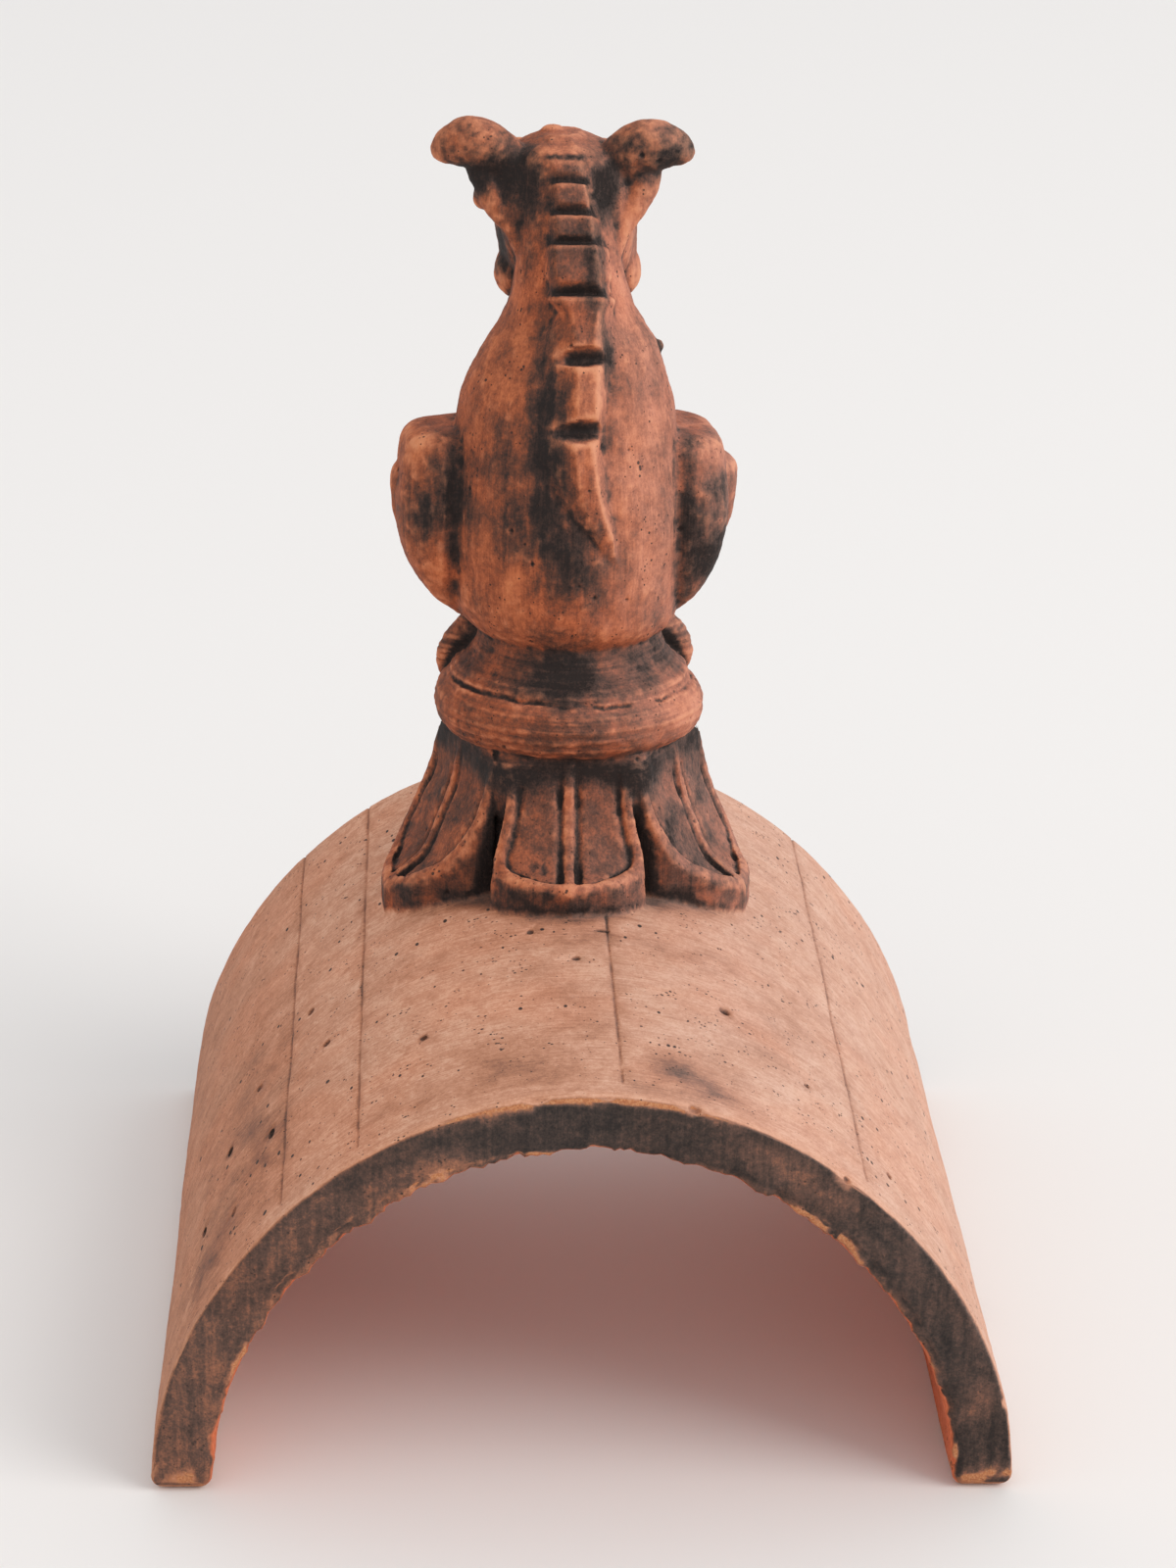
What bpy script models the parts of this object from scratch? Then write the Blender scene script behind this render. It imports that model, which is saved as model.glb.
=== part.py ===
"""Decorative ridge tile: a half-round terracotta tile carrying a petalled collar and a seated dragon.

Everything is one fired piece, so every form below is joined into the single object "ridge_tile".
Frame: metres, +Z up, the tile runs along Y, the dragon faces +Y, and the origin lies on the ground
under the middle of the tile.
"""
import math

import bmesh
import bpy
import numpy as np
from mathutils import Vector

MM = 0.001

# ---- tile (millimetres) ----
TILE_WIDTH = 250.0
TILE_LENGTH = 272.0
TILE_RISE = 126.5
WALL = 17.7
HAUNCH_FLATTENING = 2.0
FOOT_RADIUS = 5.0
FOOT_STEPS = 4
END_ARRIS = 1.6
ARCH_STEPS = 44

# ---- collar, turned about the figure's axis ----
AXIS_X = -1.0
AXIS_Y = 52.0
COLLAR_STEPS = 32
TORUS_RADIUS = 42.6
TORUS_HEIGHT = 176.5
TORUS_HALF_HEIGHT = 9.0
TORUS_BULGE = 7.0
TORUS_TURNS = (-70.0, 64.0, 7)
COLLAR_TILT = math.radians(3.4)
TILT_FROM = 140.0
TILT_TO = 165.0
# radius, height: the skirt core behind the petals, and the cavetto and neck above the torus
SKIRT_ROWS = ((41.0, 114.0), (41.0, 126.0), (38.0, 148.0), (39.5, 158.0), (38.5, 164.0), (37.8, 167.5))
CAVETTO_ROWS = (
    (38.2, 186.2), (37.6, 187.8), (33.0, 191.0), (29.7, 195.0), (28.5, 199.0), (24.5, 206.0),
)

# ---- petals ----
# turn from straight back, thickness over the tile at the tip, width of the foot against the face
PETALS = (
    (0.0, 11.0, 1.1), (68.0, 10.0, 0.94), (141.0, 10.0, 1.0), (219.0, 10.0, 1.0), (292.0, 10.0, 0.94),
)
PETAL_TIP = 62.0
PETAL_HALF_WIDTH = 21.5
PETAL_SHOULDER = 44.0
PETAL_TAPER = 0.32
PETAL_END_POWER = 2.3
PETAL_TOP_RADIUS = 37.7
PETAL_TOP_HEIGHT = 166.0
PETAL_ROOT_DEPTH = 6.0
PETAL_FLARE = 0.5
PETAL_OUTS = (35.0, 38.0, 41.5, 46.0, 51.0, 55.0, 57.8, 60.0, 61.4)
# places across a petal, as parts of its half width: edge, rim, panel and midrib
PETAL_PLACES = (-1.0, -0.92, -0.82, -0.7, -0.16, -0.07, 0.07, 0.16, 0.7, 0.82, 0.92, 1.0)
RIM_WIDTH = 6.4
RIM_TOP_WIDTH = 3.8
RIM_WIDENING = 5.0
RIM_DROP = 6.0
PANEL_DEPTH = 2.2
PANEL_WALL = 1.0
PANEL_HEAD = 3.0
MIDRIB = 1.5
MIDRIB_WALL = 1.2

# ---- dragon ----
BODY_YAW = math.radians(9.0)
YAW_FROM = 282.0
YAW_TO = 318.0
LEAN = -4.3
LEAN_FROM = 280.0
LEAN_TO = 355.0
LEVEL_FROM = 205.0
LEVEL_TO = 260.0
BODY_STEPS = 24
BODY_SIDES = 24
HEAD_STEPS = 13
HEAD_SIDES = 18
HEAD_POWER = 2.4

# height, half width, depth behind the axis, depth before it
BODY_ROWS = (
    (198.5, 26.0, 26.5, 27.0),
    (204.5, 31.8, 32.0, 32.0),
    (212.0, 34.2, 34.8, 35.0),
    (232.0, 35.6, 36.8, 38.5),
    (250.0, 35.3, 35.6, 38.5),
    (264.0, 34.2, 33.6, 36.5),
    (278.0, 32.2, 30.8, 33.0),
    (292.0, 27.2, 26.8, 28.5),
    (304.0, 21.2, 22.8, 26.0),
    (316.0, 16.6, 18.6, 25.0),
    (330.0, 15.0, 12.8, 26.0),
    (342.0, 14.5, 7.0, 26.0),
    (351.0, 11.5, 0.0, 24.0),
    (355.5, 5.0, -6.0, 20.0),
)
# distance before the axis, half width, top, underside
HEAD_ROWS = (
    (-6.0, 9.0, 350.0, 330.0),
    (0.0, 15.5, 353.5, 318.0),
    (9.0, 21.6, 355.0, 306.0),
    (20.0, 22.8, 354.0, 300.0),
    (31.0, 20.6, 350.0, 298.5),
    (42.0, 16.0, 344.5, 300.0),
    (54.0, 14.0, 340.0, 302.5),
    (64.0, 14.5, 340.0, 304.5),
    (71.0, 12.0, 337.5, 307.5),
    (75.0, 7.0, 332.0, 313.0),
)
# height, reach from the axis, rear edge, front edge
WING_ROWS = (
    (205.0, 33.0, -3.0, 8.0),
    (211.0, 39.5, -9.0, 14.0),
    (219.0, 47.5, -12.5, 20.0),
    (230.0, 54.0, -15.0, 26.0),
    (244.0, 56.0, -15.5, 29.0),
    (254.0, 55.4, -14.5, 28.0),
    (260.0, 53.4, -13.0, 26.0),
    (264.0, 48.5, -11.0, 22.0),
    (265.5, 41.0, -7.0, 16.0),
)
WING_ROOT = 26.0
WING_REACH = {-1: 1.0, 1: 0.93}
WING_STEPS = 11
WING_SIDES = 14
WING_POWER = 2.5
# height, distance before the axis: the line of the back that the crest stands on
SPINE_ROWS = (
    (222.0, -36.4), (232.0, -36.8), (250.0, -35.6), (264.0, -33.6), (278.0, -30.8), (292.0, -26.8),
    (304.0, -22.8), (316.0, -18.6), (330.0, -12.8), (342.0, -7.0), (350.0, -1.5), (355.0, 6.0), (356.5, 13.0),
)
CREST_STEP = 4.0
CREST_PROUD = 5.2
CREST_SUNK = -7.0
CREST_FADE_IN = 26.0
CREST_TAIL = 7.0
CREST_HEAD = 4.0
SPINE_STEPS = 600
LEDGE_STEPS = (-0.5, 0.2)
LEDGE_GAP = 1.5
CREST_CROWN = (5.0, 4.0)
NOTCH_FLOOR = 1.2
PLATE_NARROWING = 0.85
KEEL_HALF_FLAT = 0.8
KEEL_FLAT_LIMIT = 4.4
KEEL_FROM = 312.0
KEEL_TO = 285.0
KEEL_VEER = 7.0
KEEL_VEER_FROM = 262.0
KEEL_VEER_TO = 222.0
PLATE_VEER = 1.8
PLATE_VEER_FROM = 338.0
PLATE_VEER_TO = 352.0
PLATE_SINK = 6.0
KEEL_SINK = 2.0
KEEL_SKEW = 0.2
SHOULDER_RUN = 1.4
SHOULDER_RISE = 0.4
FLANK_RUN = 3.4
KEEL_FLANK = 2.0
KEEL_SHOULDER = 1.2
# height of each scute's top ledge, half width of the plate there, length of the slope above the ledge
LEDGES = (
    (274.5, 4.3, 9.0), (294.5, 4.3, 9.0), (314.0, 7.6, 16.0), (329.5, 6.4, 9.0),
    (338.0, 5.6, 8.0), (345.0, 5.0, 7.0), (350.6, 4.6, 6.0),
)
# half span, distance before the axis, height, radius along an ear
EAR_ROWS = (
    (9.0, 8.0, 345.0, 7.5), (16.0, 6.5, 350.0, 8.8), (24.0, 5.5, 352.6, 8.4), (31.0, 5.5, 352.0, 7.0),
    (36.5, 6.0, 350.0, 5.0), (39.4, 6.5, 348.4, 2.4),
)
TOE_TURNS = {-1: (24.0, 42.0, 60.0), 1: (36.0, 54.0, 72.0)}
# distance from the axis, height, radius along a toe
TOE_ROWS = (
    (26.0, 198.0, 6.5), (34.0, 194.0, 5.2), (40.5, 186.5, 4.4), (43.6, 178.0, 3.4), (43.4, 172.0, 1.6),
)
# half span, distance before the axis, height, radius down a foreleg
FORELEG_ROWS = (
    (24.0, 24.0, 250.0, 8.0), (27.0, 29.0, 236.0, 9.5), (26.0, 32.0, 220.0, 8.5), (24.0, 29.0, 206.0, 7.5),
    (23.0, 26.0, 198.0, 7.0),
)
# swellings of the head: half span, distance before the axis, height, then its three half sizes
CHEEK_TUFT = (20.0, 9.0, 339.5, 8.8, 7.5, 8.5)
JAW_CORNER = (16.2, 18.0, 312.0, 7.4, 9.0, 8.0)
BROW = (13.0, 31.0, 344.0, 6.5, 8.0, 5.0)
CROWN_KNOB = (-3.0, 14.0, 355.0, 3.0, 3.5, 3.4)
LUMP_END = 72.0
LUMP_STEPS = 5
LUMP_SIDES = 9
TOE_SIDES = 6
LIMB_SIDES = 9
LIMB_FRONT = Vector((0.0, 1.0, 0.3))

CLAY_COLOUR = (0.52, 0.25, 0.15, 1.0)
CLAY_ROUGHNESS = 0.85
CREASE = math.radians(35)


def smooth_rows(rows, count):
    """Rows of named sizes read at even steps along a smooth curve through them."""
    table = np.array(rows)
    knots = np.arange(len(table))
    steps = np.linspace(0, len(table) - 1, count)
    slopes = np.gradient(table, axis=0)
    base = np.minimum(steps.astype(int), len(table) - 2)
    t = (steps - knots[base])[:, None]
    start, end = table[base], table[base + 1]
    return (start * (2 * t**3 - 3 * t**2 + 1) + slopes[base] * (t**3 - 2 * t**2 + t)
            + end * (3 * t**2 - 2 * t**3) + slopes[base + 1] * (t**3 - t**2))


def smoothstep(value, low, high):
    t = np.clip((value - low) / (high - low), 0.0, 1.0)
    return t * t * (3 - 2 * t)


def seat(side, ahead, height):
    """A point of the dragon, from its own right, forward and up, in the tile's frame."""
    side = side + LEAN * smoothstep(height, LEAN_FROM, LEAN_TO)
    height = height - ahead * math.tan(COLLAR_TILT) * (1 - smoothstep(height, LEVEL_FROM, LEVEL_TO))
    yaw = BODY_YAW * (1 - smoothstep(height, YAW_FROM, YAW_TO))
    return (AXIS_X + side * math.cos(yaw) - ahead * math.sin(yaw),
            AXIS_Y + side * math.sin(yaw) + ahead * math.cos(yaw),
            height)


def tile_top(x):
    """Height of the tile's outer face over a distance x from its middle."""
    radius = TILE_WIDTH / 2
    return TILE_RISE - radius + math.sqrt(radius**2 - min(abs(x), radius)**2)


def loft(name, rings):
    """One closed body skinned over rings of equal count, its two ends capped."""
    bm = bmesh.new()
    loops = []
    for ring in rings:
        circle = bmesh.ops.create_circle(bm, segments=len(ring), radius=1.0)["verts"]
        for vert, point in zip(circle, ring):
            vert.co = Vector(point) * MM
        loops.append(circle)
    for near, far in zip(loops, loops[1:]):
        for i in range(len(near)):
            j = (i + 1) % len(near)
            bm.faces.new((near[i], near[j], far[j], far[i]))
    for end in (loops[0], loops[-1]):
        bmesh.ops.contextual_create(bm, geom=end)
    bmesh.ops.recalc_face_normals(bm, faces=bm.faces)
    bmesh.ops.triangulate(bm, faces=bm.faces)
    mesh = bpy.data.meshes.new(name)
    bm.to_mesh(mesh)
    bm.free()
    shape = bpy.data.objects.new(name, mesh)
    bpy.context.scene.collection.objects.link(shape)
    return shape


def oval(count, half_x, half_y, power=2.0):
    """Points round a superellipse, in its own plane."""
    for i in range(count):
        turn = 2 * math.pi * i / count
        c, s = math.cos(turn), math.sin(turn)
        yield (half_x * math.copysign(abs(c)**(2 / power), c), half_y * math.copysign(abs(s)**(2 / power), s))


def tube(name, rows, count):
    """A round limb through rows of side, ahead, height and radius."""
    spots = [Vector(row[:3]) for row in rows]
    rings = []
    for i, row in enumerate(rows):
        along = (spots[min(i + 1, len(spots) - 1)] - spots[max(i - 1, 0)]).normalized()
        across = along.cross(LIMB_FRONT).normalized()
        other = along.cross(across)
        rings.append([seat(*(spots[i] + across * x + other * y)) for x, y in oval(count, row[3], row[3])])
    return loft(name, rings)


def make_tile():
    """The arch: the wall's section carried from foot to foot, drawn in at each foot and at each end face."""
    half_turn = math.pi / 2
    corner = [(math.sin(a), 1 - math.cos(a)) for a in np.linspace(0, half_turn, FOOT_STEPS)]
    stations = []
    for run, rise in corner:
        stations.append((0.0, FOOT_RADIUS * (1 - run), FOOT_RADIUS * rise))
    for turn in np.linspace(0, math.pi, ARCH_STEPS + 1)[1:-1]:
        if math.sin(turn) * TILE_WIDTH / 2 > FOOT_RADIUS:
            stations.append((turn, 0.0, None))
    for run, rise in reversed(corner):
        stations.append((math.pi, FOOT_RADIUS * (1 - run), FOOT_RADIUS * rise))
    spring = TILE_RISE - TILE_WIDTH / 2
    rings = []
    for turn, draw_in, height in stations:
        reach = TILE_WIDTH / 2 - HAUNCH_FLATTENING * math.sin(2 * turn)**2
        half_length = TILE_LENGTH / 2 - draw_in
        low, high = reach - WALL + draw_in, reach - draw_in
        section = [
            (low, -half_length + END_ARRIS), (low + END_ARRIS, -half_length),
            (high - END_ARRIS, -half_length), (high, -half_length + END_ARRIS),
            (high, half_length - END_ARRIS), (high - END_ARRIS, half_length),
            (low + END_ARRIS, half_length), (low, half_length - END_ARRIS),
        ]
        rings.append([
            (radius * math.cos(turn), y, height if height is not None else spring + radius * math.sin(turn))
            for radius, y in section
        ])
    return loft("ridge_tile", rings)


def make_collar():
    """Skirt core, torus and cavetto, turned about the figure's axis."""
    torus = [
        (TORUS_RADIUS - TORUS_BULGE * (1 - math.cos(turn)), TORUS_HEIGHT + TORUS_HALF_HEIGHT * math.sin(turn))
        for turn in np.radians(np.linspace(*TORUS_TURNS))
    ]
    rings = []
    for radius, height in (*SKIRT_ROWS, *torus, *CAVETTO_ROWS):
        tilt = math.tan(COLLAR_TILT) * smoothstep(height, TILT_FROM, TILT_TO)
        rings.append([
            (AXIS_X + x, AXIS_Y + y, height - y * tilt) for x, y in oval(COLLAR_STEPS, radius, radius)
        ])
    return loft("collar", rings)


def petal_height(out, x, thickness):
    """Height of a petal's face: steep under the torus, flaring out to lie on the tile."""
    tip = tile_top(x) + thickness
    t = (out - PETAL_TOP_RADIUS) / (PETAL_TIP - PETAL_TOP_RADIUS)
    drop = PETAL_FLARE * t + (1 - PETAL_FLARE) * (1 - (1 - t)**3)
    return PETAL_TOP_HEIGHT + (tip - PETAL_TOP_HEIGHT) * drop


def petal_half_width(out):
    """A tongue: narrower at its base, with a blunt round end."""
    if out <= PETAL_SHOULDER:
        return PETAL_HALF_WIDTH - PETAL_TAPER * (PETAL_SHOULDER - out)
    end = (out - PETAL_SHOULDER) / (PETAL_TIP - PETAL_SHOULDER)
    return PETAL_HALF_WIDTH * math.sqrt(1 - end**PETAL_END_POWER)


def petal_relief(out, across):
    """Raised rim rolling down to the edge and raised midrib, with a sunk panel on each side of it."""
    end = max(0.0, out - PETAL_SHOULDER) / (PETAL_TIP - PETAL_SHOULDER)
    width = petal_half_width(min(out, PETAL_SHOULDER))
    inset = (1 - math.sqrt((across / width)**2 + end**PETAL_END_POWER)) * (PETAL_TIP - PETAL_SHOULDER)
    widened = smoothstep(out, PETAL_TOP_RADIUS, PETAL_SHOULDER + RIM_WIDENING)
    rim = RIM_TOP_WIDTH + (RIM_WIDTH - RIM_TOP_WIDTH) * widened
    sunk = smoothstep(inset, rim - PANEL_WALL, rim) * smoothstep(abs(across), MIDRIB, MIDRIB + MIDRIB_WALL)
    sunk *= smoothstep(out, PETAL_TOP_RADIUS, PETAL_TOP_RADIUS + PANEL_HEAD)
    return -PANEL_DEPTH * sunk - RIM_DROP * max(0.0, 1 - inset / (rim - PANEL_WALL))**2


def make_petal(turn_degrees, thickness, foot_scale):
    """One petal: sections across it from under the torus out to its tip, each going down into the tile."""
    turn = math.radians(turn_degrees)
    rings = []
    for out in PETAL_OUTS:
        top, root = [], []
        for place in PETAL_PLACES:
            across = place * petal_half_width(out)
            face = petal_spot(turn, out, across)
            foot = petal_spot(turn, out, across * foot_scale)
            top.append((*face, petal_height(out, face[0], thickness) + petal_relief(out, across)))
            root.append((*foot, tile_top(foot[0]) - PETAL_ROOT_DEPTH))
        rings.append(top + root[::-1])
    return loft("petal", rings)


def petal_spot(turn, out, across):
    """Place on the ground of a point of a petal that is turned about the figure's axis."""
    return (AXIS_X - out * math.sin(turn) + across * math.cos(turn),
            AXIS_Y - out * math.cos(turn) - across * math.sin(turn))


def make_body():
    """Bell-shaped body running up into the neck and the back of the skull."""
    rings = []
    for height, half_width, behind, before in smooth_rows(BODY_ROWS, BODY_STEPS):
        middle, half_depth = (before - behind) / 2, (before + behind) / 2
        rings.append([seat(x, middle + y, height) for x, y in oval(BODY_SIDES, half_width, half_depth)])
    return loft("body", rings)


def make_head():
    """Skull and muzzle, drawn forward from the top of the neck."""
    rings = []
    for ahead, half_width, top, under in smooth_rows(HEAD_ROWS, HEAD_STEPS):
        middle = (top + under) / 2
        rings.append([
            seat(x, ahead, middle + y) for x, y in oval(HEAD_SIDES, half_width, top - middle, HEAD_POWER)
        ])
    return loft("head", rings)


def make_lump(name, side, ahead, height, half_side, half_ahead, half_height):
    """A rounded swelling of the modelling, such as a jaw corner or a brow."""
    rings = []
    for tilt in np.radians(np.linspace(-LUMP_END, LUMP_END, LUMP_STEPS)):
        rings.append([
            seat(side + half_side * math.sin(tilt), ahead + x * math.cos(tilt), height + y * math.cos(tilt))
            for x, y in oval(LUMP_SIDES, half_ahead, half_height)
        ])
    return loft(name, rings)


def crest_plate(run, ledge_runs):
    """How proud the crest stands, and the half width of its flat, at a distance along the back."""
    flat, proud = KEEL_HALF_FLAT, CREST_PROUD
    for ledge_run, (_, half_flat, slope) in zip(ledge_runs, LEDGES):
        rest = PLATE_NARROWING * half_flat if half_flat > KEEL_FLAT_LIMIT else KEEL_HALF_FLAT
        if run >= ledge_run and rest > KEEL_HALF_FLAT:
            flat = rest
        if ledge_run <= run < ledge_run + slope:
            climb = (run - ledge_run) / slope
            proud = NOTCH_FLOOR + (CREST_PROUD - NOTCH_FLOOR) * climb
            flat = half_flat + (rest - half_flat) * climb
    return proud, flat


def crest_section(height, proud, flat):
    """The crest's section, as places across the back and above it: a keel below, a plate towards the head."""
    keel = 1 - smoothstep(height, KEEL_TO, KEEL_FROM)
    middle = KEEL_VEER * (1 - smoothstep(height, KEEL_VEER_TO, KEEL_VEER_FROM))
    middle += PLATE_VEER * (1 - keel) * (1 - smoothstep(height, PLATE_VEER_FROM, PLATE_VEER_TO))
    left, right = middle - flat * (1 + KEEL_SKEW * keel), middle + flat * (1 - KEEL_SKEW * keel)
    sink = PLATE_SINK + (KEEL_SINK - PLATE_SINK) * keel
    return (
        (left, proud),
        (right, proud),
        (right + SHOULDER_RUN, SHOULDER_RISE * proud),
        (right + FLANK_RUN, -sink),
        (middle, CREST_SUNK),
        (left - FLANK_RUN - KEEL_FLANK * keel, -sink),
        (left - SHOULDER_RUN - KEEL_SHOULDER * keel, SHOULDER_RISE * proud),
    )


def make_crest():
    """The stepped crest down the back: each scute is proud below its ledge, with a notch above it."""
    spine = smooth_rows(SPINE_ROWS, SPINE_STEPS)
    runs = np.concatenate(([0.0], np.cumsum(np.hypot(*np.diff(spine, axis=0).T))))
    ledge_runs = [float(np.interp(ledge, spine[:, 0], runs)) for ledge, _, _ in LEDGES]
    evenly = np.arange(CREST_STEP / 4, runs[-1], CREST_STEP)
    clear = [run for run in evenly if min(abs(run - r) for r in ledge_runs) > LEDGE_GAP]
    rings = []
    for run in sorted(clear + [r + step for r in ledge_runs for step in LEDGE_STEPS]):
        i = int(np.searchsorted(runs, run))
        height, ahead = spine[i]
        along = Vector((0, ahead - spine[i - 1, 1], height - spine[i - 1, 0])).normalized()
        proud, flat = crest_plate(run, ledge_runs)
        sunk = CREST_TAIL * (1 - smoothstep(run, 0.0, CREST_FADE_IN))
        sunk += CREST_HEAD * smoothstep(run, ledge_runs[-1] + CREST_CROWN[0], runs[-1] - CREST_CROWN[1])
        section = [(u, n - sunk) for u, n in crest_section(height, proud, flat)]
        rings.append([seat(u, ahead - along.z * n, height + along.y * n) for u, n in section])
    return loft("crest", rings)


def make_wing(side):
    """A short folded wing pressed to the flank: flat on top, round below."""
    rings = []
    for height, reach, rear, front in smooth_rows(WING_ROWS, WING_STEPS):
        middle = (rear + front) / 2
        outline = oval(WING_SIDES, (reach - WING_ROOT) * WING_REACH[side], front - middle, WING_POWER)
        rings.append([seat(side * (WING_ROOT + x), middle + y, height) for x, y in outline])
    return loft("wing", rings)


def make_toe(side, turn_degrees):
    """A toe gripping the torus from above."""
    turn = math.radians(turn_degrees)
    rows = []
    for radius, height, thick in TOE_ROWS:
        rows.append((side * radius * math.sin(turn), radius * math.cos(turn), height, thick))
    return tube("toe", rows, TOE_SIDES)


def clay_material():
    """Salmon terracotta under a brown patina."""
    material = bpy.data.materials.new("terracotta")
    material.use_nodes = True
    shader = material.node_tree.nodes["Principled BSDF"]
    shader.inputs["Base Color"].default_value = CLAY_COLOUR
    shader.inputs["Roughness"].default_value = CLAY_ROUGHNESS
    shader.inputs["Metallic"].default_value = 0.0
    return material


def join(piece, forms):
    """Unite the forms with the piece, one after another."""
    for form in forms:
        form.hide_render = True
        form.display_type = "WIRE"
        union = piece.modifiers.new(form.name, "BOOLEAN")
        union.operation = "UNION"
        union.solver = "EXACT"
        union.object = form


def main():
    for old in list(bpy.data.objects):
        bpy.data.objects.remove(old)
    tile = make_tile()
    forms = [make_collar()]
    forms += [make_petal(*petal) for petal in PETALS]
    forms += [make_body(), make_head(), make_crest()]
    for side in (-1, 1):
        forms.append(make_wing(side))
        forms += [make_toe(side, turn) for turn in TOE_TURNS[side]]
        for name, rows in (("foreleg", FORELEG_ROWS), ("ear", EAR_ROWS)):
            forms.append(tube(name, [(side * row[0], *row[1:]) for row in rows], LIMB_SIDES))
        for name, row in (("cheek tuft", CHEEK_TUFT), ("jaw corner", JAW_CORNER), ("brow", BROW)):
            forms.append(make_lump(name, side * row[0], *row[1:]))
    forms.append(make_lump("crown knob", *CROWN_KNOB))
    join(tile, forms)
    tile.data.materials.append(clay_material())
    tile.data.shade_smooth()
    tile.data.set_sharp_from_angle(angle=CREASE)


main()
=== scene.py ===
# %% [markdown]
# # A ridge tile with a dragon, in fired clay
# The real thing is one piece of terracotta: a half-round tile for the ridge of a roof, a collar
# with five petals, and a small winged dragon sitting on it with its back to us. The potter joined
# the parts wet, modelled them by hand and brushed the fired piece with a dark wash. We build it in
# the same order: forms, one skin over all of them, tool marks, and then the wash.

import math

import bmesh
import bpy
import numpy as np
from mathutils import Matrix, Vector, noise
from mathutils.bvhtree import BVHTree


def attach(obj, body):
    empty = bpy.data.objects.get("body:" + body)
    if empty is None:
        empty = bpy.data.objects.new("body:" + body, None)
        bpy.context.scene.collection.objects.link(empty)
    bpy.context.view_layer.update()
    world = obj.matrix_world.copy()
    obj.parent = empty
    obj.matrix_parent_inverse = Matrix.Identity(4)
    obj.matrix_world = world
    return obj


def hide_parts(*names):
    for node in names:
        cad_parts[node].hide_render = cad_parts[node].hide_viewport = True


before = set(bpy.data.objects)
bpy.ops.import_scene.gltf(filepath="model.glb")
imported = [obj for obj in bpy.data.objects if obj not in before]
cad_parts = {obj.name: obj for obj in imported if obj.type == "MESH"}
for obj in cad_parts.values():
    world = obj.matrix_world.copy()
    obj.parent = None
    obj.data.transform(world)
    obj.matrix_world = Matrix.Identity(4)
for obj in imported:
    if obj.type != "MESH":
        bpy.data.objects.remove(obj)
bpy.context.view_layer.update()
MM = 0.001

# %% [markdown]
# ## The camera
# A long lens a little over a metre away looks down on the back of the figure. A camera is placed
# by its matrix: three columns for right, up and backwards, and one for its place.

# %% Set up the camera
CAMERA_PLACE = Vector((-48.4, -1187.4, 628.4)) * MM
CAMERA_TURN = math.radians(2.5)
CAMERA_DIP = math.radians(21.2)
CAMERA_ROLL = math.radians(1.09)
LENS = 95.625


def as_object(data, name):
    thing = bpy.data.objects.new(name, data)
    bpy.context.scene.collection.objects.link(thing)
    return thing


ahead = Vector((
    math.sin(CAMERA_TURN) * math.cos(CAMERA_DIP),
    math.cos(CAMERA_TURN) * math.cos(CAMERA_DIP),
    -math.sin(CAMERA_DIP),
))
level = Vector((math.cos(CAMERA_TURN), -math.sin(CAMERA_TURN), 0))
upward = level.cross(ahead)
across = level * math.cos(CAMERA_ROLL) + upward * math.sin(CAMERA_ROLL)
upright = upward * math.cos(CAMERA_ROLL) - level * math.sin(CAMERA_ROLL)
camera_data = bpy.data.cameras.new("camera")
camera_data.lens = LENS
camera_data.sensor_width = 36
camera_data.clip_end = 20
camera = as_object(camera_data, "camera")
facing = Matrix((across, upright, -ahead)).transposed().to_4x4()
camera.matrix_world = Matrix.Translation(CAMERA_PLACE) @ facing
bpy.context.scene.camera = camera
print("camera at", [round(v, 3) for v in CAMERA_PLACE], "m, lens", LENS, "mm")

# %% [markdown]
# ## Helpers for soft forms
# Hand-modelled clay has no flat faces, so each form is a grid of quads wrapped over a rule: two
# shares, around and along, go in, and a place in millimetres comes out. Rows of sizes say how thick
# a form is at a few stations, and a smooth curve runs through them.

# %% Curves through rows of sizes
def through(rows, share):
    """Sizes at shares from 0 to 1 along a smooth curve through rows of sizes."""
    table = np.array(rows, dtype=float).reshape(len(rows), -1)
    slopes = np.gradient(table, axis=0)
    step = np.clip(share, 0, 1) * (len(table) - 1)
    base = np.minimum(step.astype(int), len(table) - 2)
    t = (step - base)[:, None]
    start, end = table[base], table[base + 1]
    curve = (start * (2 * t**3 - 3 * t**2 + 1) + slopes[base] * (t**3 - 2 * t**2 + t)
             + end * (3 * t**2 - 2 * t**3) + slopes[base + 1] * (t**3 - t**2))
    return curve.T


def ease(value, low, high):
    """0 below low, 1 above high, and a soft step between."""
    t = np.clip((value - low) / (high - low), 0, 1)
    return t * t * (3 - 2 * t)


def bell(value, middle, half_width):
    """1 at the middle, falling softly to both sides."""
    return np.exp(-(((value - middle) / half_width) ** 2))


def oval(around, half_x, half_y, power=2):
    """Places round a superellipse, for shares around it."""
    c, s = np.cos(2 * np.pi * around), np.sin(2 * np.pi * around)
    return (half_x * np.sign(c) * np.abs(c) ** (2 / power),
            half_y * np.sign(s) * np.abs(s) ** (2 / power))


# %% Wrap a grid over a form
def as_mesh(bm, name):
    mesh = bpy.data.meshes.new(name)
    bm.to_mesh(mesh)
    bm.free()
    return mesh


def closed_mesh(bm, name):
    """A mesh with its open ends filled and its faces turned outward."""
    bmesh.ops.holes_fill(bm, edges=[edge for edge in bm.edges if edge.is_boundary])
    bmesh.ops.recalc_face_normals(bm, faces=bm.faces)
    return as_mesh(bm, name)


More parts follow.
